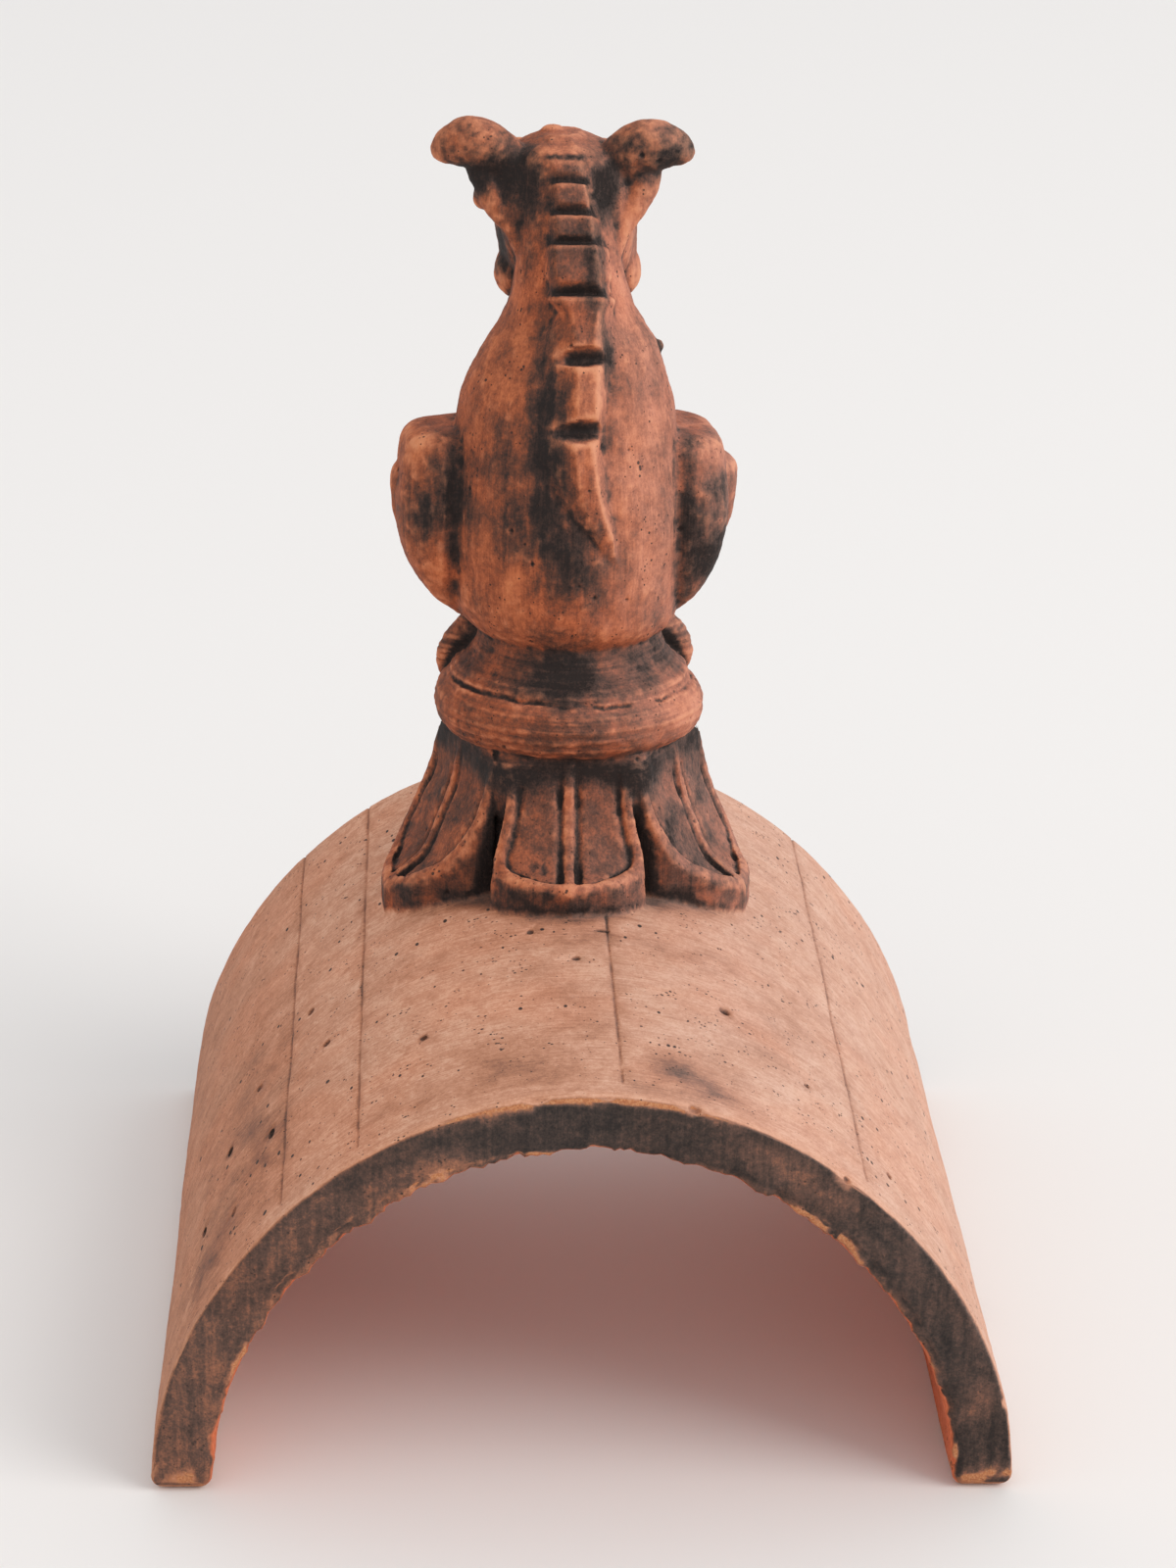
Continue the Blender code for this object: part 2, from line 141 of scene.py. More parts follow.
def wrap(name, around, along, shape):
    """A closed form: a grid of quads whose places are shape(share around, share along), in mm."""
    bm = bmesh.new()
    bmesh.ops.create_grid(bm, x_segments=around, y_segments=along, size=0.5)
    shares = np.array([vert.co[:2] for vert in bm.verts]) + 0.5
    for vert, spot in zip(bm.verts, np.stack(shape(shares[:, 0], shares[:, 1]), axis=1) * MM):
        vert.co = spot
    bmesh.ops.remove_doubles(bm, verts=bm.verts, dist=0.001 * MM)
    return closed_mesh(bm, name)


# %% [markdown]
# ## Where the dragon sits
# The figure stands near the tile's far end. It was set down by eye: the body is turned a few
# degrees, the collar isn't quite level, and the head leans to its left. One function takes the
# dragon's own right, forward and up to the tile's frame, so every form can be drawn straight.

# %% Seat the dragon
AXIS_X, AXIS_Y = -1, 52
BODY_YAW = math.radians(9)
COLLAR_TILT = math.tan(math.radians(3.4))
HEAD_LEAN = -4.3


def lean_at(height):
    return HEAD_LEAN * ease(height, 280, 355)


def yaw_at(height):
    return BODY_YAW * (1 - ease(height, 282, 318))


def seat(side, ahead, height):
    """The place of a point given by the dragon's own right, forward and up."""
    side = side + lean_at(height)
    height = height - ahead * COLLAR_TILT * (1 - ease(height, 205, 260))
    yaw = yaw_at(height)
    return (AXIS_X + side * np.cos(yaw) - ahead * np.sin(yaw),
            AXIS_Y + side * np.sin(yaw) + ahead * np.cos(yaw),
            height + 0 * side)


print("the dragon's axis stands at", AXIS_X, AXIS_Y, "mm")

# %% [markdown]
# ## The body and the head
# The body is a bell that narrows into the neck. The head is drawn forward from the top of the neck
# into a muzzle. Both are stacks of ovals, so they are wrapped from rows of sizes.

# %% Body and head
# height, half width, depth behind the axis, depth before it
BODY_ROWS = (
    (198.5, 26, 26.5, 27), (204.5, 32.4, 32, 32), (212, 35.2, 34.8, 35), (232, 37, 36.8, 38.5),
    (250, 36.5, 35.6, 38.5), (264, 34.7, 33.6, 36.5), (278, 32.2, 30.8, 33),
    (292, 26.5, 26.8, 28.5), (304, 19.6, 22.8, 26), (316, 16.9, 18.6, 25), (330, 17.2, 13.6, 26),
    (342, 18.8, 9, 26), (351, 14.5, 2.5, 24), (355.5, 6, -5, 20),
)
# distance before the axis, half width, top, underside
HEAD_ROWS = (
    (-7.5, 9, 348, 334), (-4.5, 15.5, 351.5, 325), (-1, 19.5, 353.5, 316), (4, 21.5, 354.5, 309),
    (10, 22, 355, 305), (20, 22.2, 354, 300), (31, 20.2, 350, 298.5), (42, 16, 344.5, 300),
    (54, 14, 340, 302.5), (64, 14.5, 340, 304.5), (71, 12, 337.5, 307.5), (75, 7, 332, 313),
)
BODY_SHIFT = 2


def body_shape(around, along):
    height, half_width, behind, before = through(BODY_ROWS, along)
    x, y = oval(around, half_width, (before + behind) / 2)
    x = x - BODY_SHIFT * ease(height, 202, 214) * ease(height, 300, 278)
    return seat(x, (before - behind) / 2 + y, height)


def head_shape(around, along):
    forward, half_width, top, under = through(HEAD_ROWS, along)
    x, y = oval(around, half_width, (top - under) / 2, 2.4)
    return seat(x, forward + 0 * x, (top + under) / 2 + y)


forms = [wrap("body", 150, 140, body_shape), wrap("head", 110, 80, head_shape)]
print("body and head:", [len(form.polygons) for form in forms], "faces")

# %% [markdown]
# ## The wings
# Each short wing is folded against the flank, flat on top and round below, with a thinner feather
# lying in front of it. A superellipse gives the flat sides.

# %% Wings
# height, reach from the axis, rear edge, front edge
WING_ROWS = (
    (203.5, 33, -4, 6), (208, 39, -10, 12), (213, 45.5, -14, 17), (221, 51.6, -17, 22),
    (231, 55.2, -18.5, 26), (242, 56.2, -18.5, 28), (252, 55.4, -17.5, 28), (260, 54.6, -16, 27),
    (264.6, 52.8, -14, 25), (266.6, 48.5, -11.5, 21), (267, 42, -8, 16),
)
FEATHER_ROWS = (
    (210, 38, 4, 14), (220, 49, 2, 21), (232, 56.2, 0, 26), (243, 58.2, -1, 28),
    (251, 57.8, 0, 27), (256, 53, 4, 21),
)
WING_ROOT = 26
WING_DROP = {-1: 1.6, 1: 3.6}
# name, rows, side, squareness, how much of the reach, how far its rear edge lies forward
WINGS = (
    ("wing", WING_ROWS, -1, 3.4, 0.92, 8), ("feather", FEATHER_ROWS, -1, 2.2, 0.89, 3),
    ("wing", WING_ROWS, 1, 3.4, 0.76, 0), ("feather", FEATHER_ROWS, 1, 2.2, 0.91, -2),
)


def wing_shape(rows, side, power, share, forward):
    def shape(around, along):
        height, reach, rear, front = through(rows, along)
        rear = rear + forward
        x, y = oval(around, (reach - WING_ROOT) * share, (front - rear) / 2, power)
        droop = WING_DROP[side] * ease(height, 236, 262) * (0.4 + 0.6 * x / (reach - WING_ROOT))
        return seat(side * (WING_ROOT + x), (rear + front) / 2 + y, height - droop)
    return shape


for name, *shape_of in WINGS:
    forms.append(wrap(name, 90, 70, wing_shape(*shape_of)))
print("wings:", len(forms), "forms so far")

# %% [markdown]
# ## Limbs and ears
# Forelegs, toes and ears are round limbs that taper along a bent line. Their middle line and
# thickness come from rows, and each ring stands square to the line.

# %% Limbs, toes and ears
# half span, distance before the axis, height, radius
EAR_ROWS = (
    (8, 8, 341, 6.5), (14.5, 6.5, 344.8, 7.2), (19, 5.8, 348.8, 7.8), (23.5, 5.5, 351.8, 8.2),
    (28.5, 5.5, 352.8, 8), (33.5, 5.8, 352, 6.4), (37.4, 6.2, 350.4, 4.2), (39.5, 6.5, 349.4, 1.6),
)
# the cords of muscle from the roots of the ears down the neck
CORD_ROWS = (
    (25, 6.5, 347, 5.5), (23, 5.2, 341, 6), (19, 3.6, 334.5, 6), (15, 1.6, 328, 5.6),
    (11.6, -1, 321, 4.8), (9, -4, 314, 3),
)
FORELEG_ROWS = (
    (24, 24, 250, 8), (27, 29, 236, 9.5), (26, 32, 220, 8.5), (24, 29, 206, 7.5), (23, 26, 198, 7),
)
# distance from the axis, height, radius along a toe
TOE_ROWS = ((24, 200, 6.5), (31, 198, 5.6), (37, 193, 5), (40.6, 186.5, 4.2), (41.6, 180.5, 1.8))
TOE_TURNS = {-1: (24, 42, 60), 1: (36, 54, 72)}
LIMB_FRONT = np.array((0, 1, 0.3))
RING_STEP = 0.01


def limb_shape(rows):
    """A limb through rows of side, ahead, height and radius."""
    def shape(around, along):
        side, forward, height, radius = through(rows, along)
        middle = np.stack((side, forward, height), axis=1)
        before, after = (
            np.stack(through(rows, along + step)[:3], axis=1) for step in (-RING_STEP, RING_STEP))
        line = (after - before) / np.linalg.norm(after - before, axis=1)[:, None]
        cross = np.cross(line, LIMB_FRONT)
        cross /= np.linalg.norm(cross, axis=1)[:, None]
        x, y = oval(around, radius, radius)
        return seat(*(middle + cross * x[:, None] + np.cross(line, cross) * y[:, None]).T)
    return shape


for side in (-1, 1):
    for name, rows in (("ear", EAR_ROWS), ("cord", CORD_ROWS), ("foreleg", FORELEG_ROWS)):
        rows = [(side * row[0], *row[1:]) for row in rows]
        forms.append(wrap(name, 48, 60, limb_shape(rows)))
    for turn in np.radians(TOE_TURNS[side]):
        rows = [(side * r * math.sin(turn), r * math.cos(turn), *sizes) for r, *sizes in TOE_ROWS]
        forms.append(wrap("toe", 28, 40, limb_shape(rows)))
print("limbs:", len(forms), "forms so far")

# %% [markdown]
# ## Swellings of the head
# Brows, eyes, cheek tufts and the corners of the jaw are pellets of clay pressed on. An icosphere
# scaled into an egg is the nearest thing to a pellet.

# %% Pellets
# name, half span, distance before the axis, height, three half sizes
PAIRED_PELLETS = (
    ("cheek_tuft", 19.4, 9, 341, 8.8, 7.5, 8), ("jaw_corner", 15.4, 18, 311, 7.4, 9, 9),
    ("brow", 13, 31, 344, 6.5, 8, 5), ("eye", 16, 35.5, 338.5, 4.2, 4.6, 4),
    ("nostril_wing", 9.5, 69, 334.5, 4.6, 5.5, 4.6), ("shoulder", 25, 20, 252, 12, 13, 13),
)
SINGLE_PELLETS = (
    ("crown_knob", -3, 14, 354.6, 4, 3.5, 2.6), ("chin", 0, 66, 306.5, 9, 7, 4.5),
    ("left_tuft", -23.6, 8, 336.5, 4.6, 5, 4.8), ("snag", 26.3, 0, 290.5, 1.7, 1.5, 2.3),
)


def pellet(name, side, forward, height, *half_sizes):
    bm = bmesh.new()
    bmesh.ops.create_icosphere(bm, subdivisions=4, radius=1)
    bmesh.ops.scale(bm, verts=bm.verts, vec=Vector(half_sizes) * MM)
    place = Vector([float(v) for v in seat(side, forward, height)]) * MM
    bmesh.ops.translate(bm, verts=bm.verts, vec=place)
    return as_mesh(bm, name)


for name, span, *sizes in PAIRED_PELLETS:
    forms += [pellet(name, side * span, *sizes) for side in (-1, 1)]
forms += [pellet(*row) for row in SINGLE_PELLETS]
print("pellets:", len(forms), "forms so far")

# %% [markdown]
# ## The crest
# A row of scutes runs down the back. Towards the head they are plates, each with a crisp ledge and
# a notch above it. Further down they turn into a sharp keel with two pockets cut in it.

# %% Crest
# height, distance before the axis: the line of the back
SPINE_ROWS = (
    (222, -36.4), (232, -36.8), (250, -35.6), (264, -33.6), (278, -30.8), (292, -26.8),
    (304, -22.8), (316, -18.6), (330, -12.8), (342, -7), (350, -1.5), (355, 6), (356.5, 13),
)
# height up the back, side of the crest's middle, half width of its flat, how proud it stands
CREST_ROWS = np.array((
    (222, 8.5, 0.6, -4), (229, 6.7, 1, -1.6), (238, 3.9, 1.8, 0.8), (244, 1.3, 2.4, 2.5),
    (252, -1.4, 2.8, 4.2), (260, -3, 2.9, 5.2), (269, -4.1, 2.9, 5.8), (285, -2.1, 2.9, 5.9),
    (298, 0.8, 3.2, 5.7), (308, 2.8, 4.2, 5.4), (311.5, 1.9, 6.6, 5.3), (326, 1.9, 6, 5.2),
    (334.5, 2, 5.3, 4.8), (343, 1.7, 4.5, 4.2), (348.8, 0.6, 4.2, 3.2), (354.5, -0.6, 3.2, 0.8),
    (356.5, -2, 2, -3),
))
# height of each notch's deepest line, its depth, how far it runs up and down from there
NOTCHES = (
    (273.4, 5, 4.2, 3), (293.6, 5, 4.6, 1.6), (312, 3.9, 4.3, 0.35), (326.3, 2.9, 2.5, 0.3),
    (334.5, 3.2, 3.2, 0.3), (343, 2.5, 2.9, 0.3), (348.8, 1.2, 1, 0.3),
)
# shares around the crest's section at which its corners lie
CREST_CORNERS = np.array((0, 0.3, 0.42, 0.54, 0.64, 0.76, 0.88, 1))
SPINE = np.stack(through(SPINE_ROWS, np.linspace(0, 1, 2000)), axis=1)
SPINE_RUNS = np.concatenate(([0], np.cumsum(np.hypot(*np.diff(SPINE, axis=0).T))))


def crest_at(height):
    """The side of the crest's middle at a height, half its flat's width, and how proud it is."""
    return (np.interp(height, CREST_ROWS[:, 0], CREST_ROWS[:, k]) for k in (1, 2, 3))


def notch_cut(away, up, down):
    """How deep a notch is at a distance from its deepest line: 1 there and 0 at its ends."""
    return 1 - np.clip(np.where(away > 0, away / up, -away / down), 0, 1) ** 1.8


def crest_shape(around, along):
    run = along * SPINE_RUNS[-1]
    before, (height, forward), after = (
        [np.interp(run + step, SPINE_RUNS, column) for column in SPINE.T] for step in (-1, 0, 1))
    rise, lean = after[0] - before[0], after[1] - before[1]
    length = np.hypot(rise, lean)
    rise, lean = rise / length, lean / length
    middle, flat, proud = crest_at(height)
    cut, waist = np.zeros_like(run), np.ones_like(run)
    for deepest, depth, up, down in NOTCHES:
        away = run - np.interp(deepest, SPINE[:, 0], SPINE_RUNS)
        cut = np.maximum(cut, depth * notch_cut(away, up, down))
        waist -= 0.16 * ease(away, up + 2, up) * (away > 0) * (deepest > 300)
    flat = flat * waist
    keel = 1 - ease(height, 300, 312)
    left_slope, right_slope = 0.42 + 0.88 * keel, 0.38 + 0.22 * keel
    base = np.minimum(proud, 1.4)
    side_left = middle - flat - left_slope * (proud - base)
    side_right = middle + flat + right_slope * (proud - base)
    top_left, top_right = middle - flat - left_slope * cut, middle + flat + right_slope * cut
    top, shoulder = proud - cut, np.minimum(base, proud - cut)
    corners_x = np.stack((
        top_left, top_right, side_right + 0.3, side_right + 3 + 1 * keel, middle,
        side_left - 3.4 - 3 * keel, side_left - 0.6, top_left))
    corners_n = np.stack((top, top, shoulder, base - 6, base - 11, base - 7.5, shoulder, top))
    section = np.clip(np.searchsorted(CREST_CORNERS, around, side="right") - 1, 0, 6)
    start, end = CREST_CORNERS[section], CREST_CORNERS[section + 1]
    t = (around - start) / (end - start)
    index = np.arange(len(around))
    x, n = (corners[section, index] * (1 - t) + corners[section + 1, index] * t
            for corners in (corners_x, corners_n))
    return seat(x, forward - rise * n, height + lean * n)


forms.append(wrap("crest", 60, 460, crest_shape))
print("crest:", round(float(SPINE_RUNS[-1])), "mm along the back")

# %% [markdown]
# ## The collar
# A moulding carries the figure: a cavetto under the body, a round torus, and a plain core behind
# the petals. It was turned on a wheel, so its outline is spun about the axis, and then sheared a
# little, because it isn't level on the tile.

# %% Collar
TORUS_RADIUS, TORUS_HEIGHT = 42.6, 176.5
# radius and height, from the foot of the core to the neck
CORE_ROWS = ((40, 114), (40, 130), (38.8, 142), (37.4, 150), (35.8, 158), (35.6, 167))
CAVETTO_ROWS = (
    (38.6, 185.6), (37.9, 185.4), (37.6, 187.2), (36, 189), (33, 191.4), (30.4, 194.4),
    (29, 197.6), (28.4, 200.5), (24.5, 208),
)
TORUS_ROWS = [
    (TORUS_RADIUS - 7 * (1 - math.cos(turn)), TORUS_HEIGHT + 9 * math.sin(turn))
    for turn in np.radians(np.linspace(-72, 62, 22))
]
WHEEL_STEPS = 160

bm = bmesh.new()
verts = [bm.verts.new(Vector((radius, 0, height)) * MM)
         for radius, height in (*CORE_ROWS, *TORUS_ROWS, *CAVETTO_ROWS)]
edges = [bm.edges.new(pair) for pair in zip(verts, verts[1:])]
bmesh.ops.spin(bm, geom=verts + edges, cent=(0, 0, 0), axis=(0, 0, 1), dvec=(0, 0, 0),
               angle=2 * math.pi, steps=WHEEL_STEPS, use_merge=True, use_duplicate=False)
for vert in bm.verts:
    tilt = COLLAR_TILT * float(ease(vert.co.z / MM, 140, 165))
    vert.co.z -= vert.co.y * tilt
bmesh.ops.translate(bm, verts=bm.verts, vec=Vector((AXIS_X, AXIS_Y, 0)) * MM)
forms.append(closed_mesh(bm, "collar"))
print("collar:", len(forms[-1].polygons), "faces")

# %% [markdown]
# ## The petals
# Five tongues spread down from the collar onto the tile. Each has a rolled rim, a sunk panel with
# a scored line inside the rim, and a midrib between two grooves. All of that is height over the
# petal's own plan, so one rule in the distance out and across gives it.

# %% Petals
TILE_WIDTH, TILE_RISE = 250, 126.5
TILE_RADIUS = TILE_WIDTH / 2
PETAL_TOP, PETAL_TIP = 34, 61.2
# height of a petal's face over the tile, at even steps from its top to its tip
PETAL_PROFILE = (51, 37.5, 27.8, 21.6, 16.2, 12.8, 11.6, 10.9, 10.1, 9)
# half width at even steps from top to tip
BROAD_PETAL = (19, 19.6, 21.4, 23.4, 23.2, 20.8, 17.4, 12, 0)
LONG_PETAL = (22, 23.5, 25.6, 26.8, 25, 21.2, 17, 10.8, 0)
BENT_PETAL = (26.5, 26.5, 26, 24.2, 21.4, 18.6, 15.6, 10.8, 0)
# turn from straight back, half widths to one side and the other, width of the foot, shift across
PETALS = (
    (0, BROAD_PETAL, BROAD_PETAL, 1.06, -0.8), (69, BENT_PETAL, LONG_PETAL, 1, -3.5),
    (141, BROAD_PETAL, BROAD_PETAL, 1, 0), (219, BROAD_PETAL, BROAD_PETAL, 1, 0),
    (297, LONG_PETAL, BENT_PETAL, 1, 4.2),
)
PETAL_BOW = 0.4
# share around a petal's section, place across it from edge to edge, depth from its face to its foot
PETAL_SECTION = ((0, 0.74, 0.82, 0.92, 1), (-1, 1, 1, -1, -1), (0, 0, 1, 1, 0))


def tile_top(x):
    """Height of the tile's outer face over a distance x from its middle."""
    half_chord = np.minimum(np.abs(x), TILE_RADIUS)
    return TILE_RISE - TILE_RADIUS + np.sqrt(TILE_RADIUS**2 - half_chord**2)


def petal_half_width(petal, out, across):
    share = (out - PETAL_TOP) / (PETAL_TIP - PETAL_TOP)
    one_side, other_side = (through(rows, share)[0] for rows in petal[1:3])
    return np.maximum(np.where(across > 0, one_side, other_side), 0.05)


def petal_parts(petal, out, across):
    """Distance in from the edge, the rim's width there, and the distance from the midrib."""
    before, here, after = (petal_half_width(petal, out + step, across) for step in (-0.5, 0, 0.5))
    inset = (here - np.abs(across)) / np.sqrt(1 + (after - before) ** 2)
    return inset, 3.4 + 1 * ease(out, 38, 50), np.abs(across)


def petal_grooves(inset, rim, reach):
    """How much of the scored line inside the rim, and of the grooves by the midrib, is here."""
    scored = bell(inset - rim, 0.5, 0.7) * ease(reach, 1.6, 2.6)
    return scored, bell(reach, 2.7, 1) * ease(inset, rim - 0.5, rim + 1)


def petal_relief(petal, out, across):
    """Height over the plain petal: rolled rim, scored line, panel, grooves and midrib."""
    inset, rim, reach = petal_parts(petal, out, across)
    scored, beside = petal_grooves(inset, rim, reach)
    panel = ease(inset, rim - 0.3, rim + 0.3) * ease(reach, 1.4, 2)
    height = -1.5 * panel - 2 * scored - 2 * beside
    # near its top a petal is steep, so the same cut goes further down
    height *= 1 + 1.6 * ease(out, 40, 36.5)
    return ease(out, 35.2, 36.6) * height - 1.6 * np.maximum(0, 1 - inset / 1.6) ** 2


def petal_shape(petal):
    turn, foot_scale, shift = math.radians(petal[0]), petal[3], petal[4]

    def shape(around, along):
        out = PETAL_TOP + (PETAL_TIP - 0.1 - PETAL_TOP) * (1 - (1 - along) ** 1.5)
        place = np.interp(around, *PETAL_SECTION[:2])
        foot = np.interp(around, *PETAL_SECTION[::2])
        across = place * petal_half_width(petal, out, place) * (1 + (foot_scale - 1) * foot)
        x = AXIS_X - out * math.sin(turn) + (across + shift) * math.cos(turn)
        y = AXIS_Y - out * math.cos(turn) - (across + shift) * math.sin(turn)
        bowed = (np.hypot(out, PETAL_BOW * across) - PETAL_TOP) / (61 - PETAL_TOP)
        face = tile_top(x) + through(PETAL_PROFILE, bowed)[0] + petal_relief(petal, out, across)
        return x, y, face + (tile_top(x) - 6 - face) * foot
    return shape


for petal in PETALS:
    forms.append(wrap("petal", 190, 90, petal_shape(petal)))
# clay pressed into the tops of the gaps between petals
WEB_TURNS = np.radians((32, 105, 180, 258, 328)) + BODY_YAW
WEB_REACH = 34.8
for turn in WEB_TURNS:
    place = -WEB_REACH * math.sin(turn), -WEB_REACH * math.cos(turn), 157
    forms.append(pellet("web", *place, 7.2, 7.2, 14))
print("petals:", len(PETALS), "and", len(forms), "forms in all")

# %% [markdown]
# ## One skin over all the forms
# Wet clay joins into one body with soft creases. A voxel remesh does the same: it fills space with
# small cubes wherever any form is, and skins the outside. A little smoothing then takes away the
# cubes' steps, as a damp sponge does.

# %% Fuse the forms
VOXEL = 0.6
SMOOTHING = 3


def finished(thing):
    """The mesh of an object with its modifiers applied; the object goes."""
    evaluated = thing.evaluated_get(bpy.context.evaluated_depsgraph_get())
    mesh = bpy.data.meshes.new_from_object(evaluated)
    bpy.data.objects.remove(thing)
    return mesh


gathered = bmesh.new()
for form in forms:
    gathered.from_mesh(form)
fused = as_object(as_mesh(gathered, "forms"), "figure")
skin = fused.modifiers.new("skin", "REMESH")
skin.mode = "VOXEL"
skin.voxel_size = VOXEL * MM
sponge = fused.modifiers.new("sponge", "SMOOTH")
sponge.factor = 0.5
sponge.iterations = SMOOTHING
figure = finished(fused)
print("figure:", len(figure.vertices), "points after the skin")

# %% [markdown]
# ## Tool marks on the figure
# The points of the skin are read into NumPy, moved along their normals, and written back. Hollows
# are pushed in behind the ears, the mouth is cut, pits are opened where grit burned out, and the
# whole surface is made a little uneven.

# %% Read and move points
def read_points(mesh):
    both = np.empty((2, len(mesh.vertices) * 3))
    mesh.vertices.foreach_get("co", both[0])
    mesh.vertex_normals.foreach_get("vector", both[1])
    return both[0].reshape(-1, 3) / MM, both[1].reshape(-1, 3)


def write_points(mesh, spots):
    mesh.vertices.foreach_set("co", (spots * MM).ravel())
    mesh.update()


def grain(spots, size, octaves=2):
    """Smooth noise from about -1 to 1, with lumps of a size in mm (one, or one for each axis)."""
    shrunk = (spots / np.array(size)).tolist()
    return np.array([noise.fractal(spot, 1, 2, octaves) for spot in shrunk])


def in_line(values):
    """Places along one axis, for noise that only changes with the values."""
    return np.stack((values, 0 * values, 0 * values), axis=1)


def near(spots, side, ahead, height, *sizes):
    """1 at a place of the dragon, falling away over half sizes in mm."""
    place = np.array([float(v) for v in seat(side, ahead, height)])
    return np.exp(-(((spots - place) / np.array(sizes)) ** 2).sum(axis=1))


# %% Model the figure
# place on the dragon, half sizes, depth: a hollow is positive and a swelling negative
HOLLOWS = (
    (-14.5, -5, 343, 8, 8, 8, 3.4), (12.5, -5, 343, 6.5, 8, 8, 3.4), (-27, 2, 340, 5, 6, 4.5, 1.8),
    (-19, 6, 324, 6, 8, 9, 2), (19, 6, 324, 6, 8, 9, 1.4), (-38.5, -6, 240, 2, 8, 22, 1),
    (31, -14, 240, 3, 8, 18, 1.6), (-33, 14, 350, 8, 5, 6, 2.6), (33, 14, 350, 8, 5, 6, 2.6),
    (-6.5, 75, 333, 2, 3.5, 2, 3), (6.5, 75, 333, 2, 3.5, 2, 3), (0, 50, 344, 5, 14, 6, -1.6),
    (0, 44, 262, 16, 14, 26, -2),
)
# the collar's mean radius in mm, over which the figure is unrolled
UNROLLED_RADIUS = 40

spots, normals = read_points(figure)
push = np.zeros(len(spots))
for *patch, depth in HOLLOWS:
    push -= depth * near(spots, *patch)
height = spots[:, 2]
off_x, off_y = spots[:, 0] - AXIS_X, spots[:, 1] - AXIS_Y
# the mouth: a scored line round the muzzle, dipping at its corners
mouth_line = 319 - 3 * ease(off_y, 62, 30) + 1.2 * np.sin(off_y / 5)
push -= 2 * bell(height, mouth_line, 0.9) * ease(off_y, 30, 34) * (height > 300)
# belly plates: level steps down the chest, between the forelegs
belly = ease(off_y, 22, 30) * ease(np.abs(off_x - lean_at(height) + 3), 21, 17)
for low, high in ((207, 212), (300, 292)):
    belly *= ease(height, low, high)
push += belly * (1.3 * (((height - 205) / 9.5) % 1) - 0.6)
# throwing lines round the collar, and a torn line where the torus was pressed on
collar = ease(height, 163, 168) * ease(height, 204, 198)
radius = np.hypot(off_x, off_y)
round_axis = np.arctan2(off_x, -off_y) * UNROLLED_RADIUS
tilted = height + off_y * COLLAR_TILT
unrolled = np.stack((round_axis / 34, tilted / 1.7, 0 * radius), axis=1)
push += 0.32 * collar * grain(unrolled, 1)
torn = 186 - 1.3 * ease(round_axis, -30, 20) + 0.8 * grain(in_line(round_axis), 7, 3)
broken = 0.35 + 0.65 * ease(grain(in_line(round_axis) + 9, 12), -0.2, 0.3)
push -= 0.9 * broken * collar * bell(tilted, torn, 0.55) * ease(radius, 36, 38)
# an uneven hand all over, and long strokes down the back
push += 0.45 * grain(spots, 17) + 0.22 * grain(spots, 5) + 0.1 * grain(spots, 1.8)
back = ease(height, 206, 214) * ease(height, 330, 318) * ease(normals[:, 1], -0.1, -0.5)
push += 0.14 * back * grain(spots, (2.2, 4, 24))
spots += normals * push[:, None]
print("figure moved by", round(float(push.min()), 1), "to", round(float(push.max()), 1), "mm")

# %% Open pits in the figure
PITS = 110

rng = np.random.default_rng(7)
pit_at = rng.choice(len(spots), PITS, replace=False)
pit_size = rng.uniform(0.45, 0.7, PITS) * np.where(rng.random(PITS) < 0.08, 1.5, 1)
pit_depth = np.zeros(len(spots))
for place, size in zip(spots[pit_at], pit_size):
    close = np.flatnonzero(np.abs(spots - place).max(axis=1) < 2 * size)
    distance = np.linalg.norm(spots[close] - place, axis=1) / size
    pit_depth[close] = np.maximum(pit_depth[close], 1.1 * size * np.exp(-(distance**4)))
spots -= normals * pit_depth[:, None]
write_points(figure, spots)
print("pits:", PITS)

# %% [markdown]
# ## The half-round tile
# The tile was bent over a former as a slab, so its section is even and its ends are cut. We wrap
# the wall's own section from one foot to the other. The stations are closer along the arrises and
# by the four scored lines that the former's slats left.

# %% Tile
TILE_LENGTH, WALL, FOOT_RADIUS, ARRIS = 272, 17.7, 5, 1.3
# how far the haunches are flatter than a true half round
HAUNCH = 2
SPRING = TILE_RISE - TILE_RADIUS
SCORED_TURNS = np.radians((90 + 45.2, 90 + 32, 90 - 4.3, 90 - 40.5))
SCORE_DEPTH = 0.42

corner = np.linspace(0, np.pi / 2, 5)
arris_out = np.stack((ARRIS * (1 - np.cos(corner)), ARRIS * (1 - np.sin(corner))), axis=1)
near_end = np.concatenate((
    np.linspace(1.3, 12, 9), np.linspace(14, 248, 100), np.linspace(250, 270.7, 14)))
inner_run = np.concatenate((np.linspace(1.3, 12, 8), np.linspace(16, 256, 44), (262, 270.7)))
# depth in the wall from its outer face, distance from the near end
SECTION = np.array(
    [(0, TILE_LENGTH - d) for d in near_end] + [(d, e) for d, e in arris_out[1:-1]]
    + [(d, 0) for d in np.linspace(ARRIS, WALL - ARRIS, 15)]
    + [(WALL - d, e) for d, e in arris_out[::-1][1:-1]] + [(WALL, e) for e in inner_run]
    + [(WALL - d, TILE_LENGTH - e) for d, e in arris_out[1:-1]]
    + [(WALL - d, TILE_LENGTH) for d in np.linspace(ARRIS, WALL - ARRIS, 6)]
    + [(d, TILE_LENGTH - e) for d, e in arris_out[::-1][1:-1]])
first_turn = math.asin(FOOT_RADIUS / TILE_RADIUS)
beside_scores = np.array((-1.3, -0.7, -0.3, 0, 0.3, 0.7, 1.3)) / TILE_RADIUS
turns = np.unique(np.concatenate((
    np.linspace(first_turn, np.pi - first_turn, 190),
    (SCORED_TURNS[:, None] + beside_scores).ravel())).round(5))
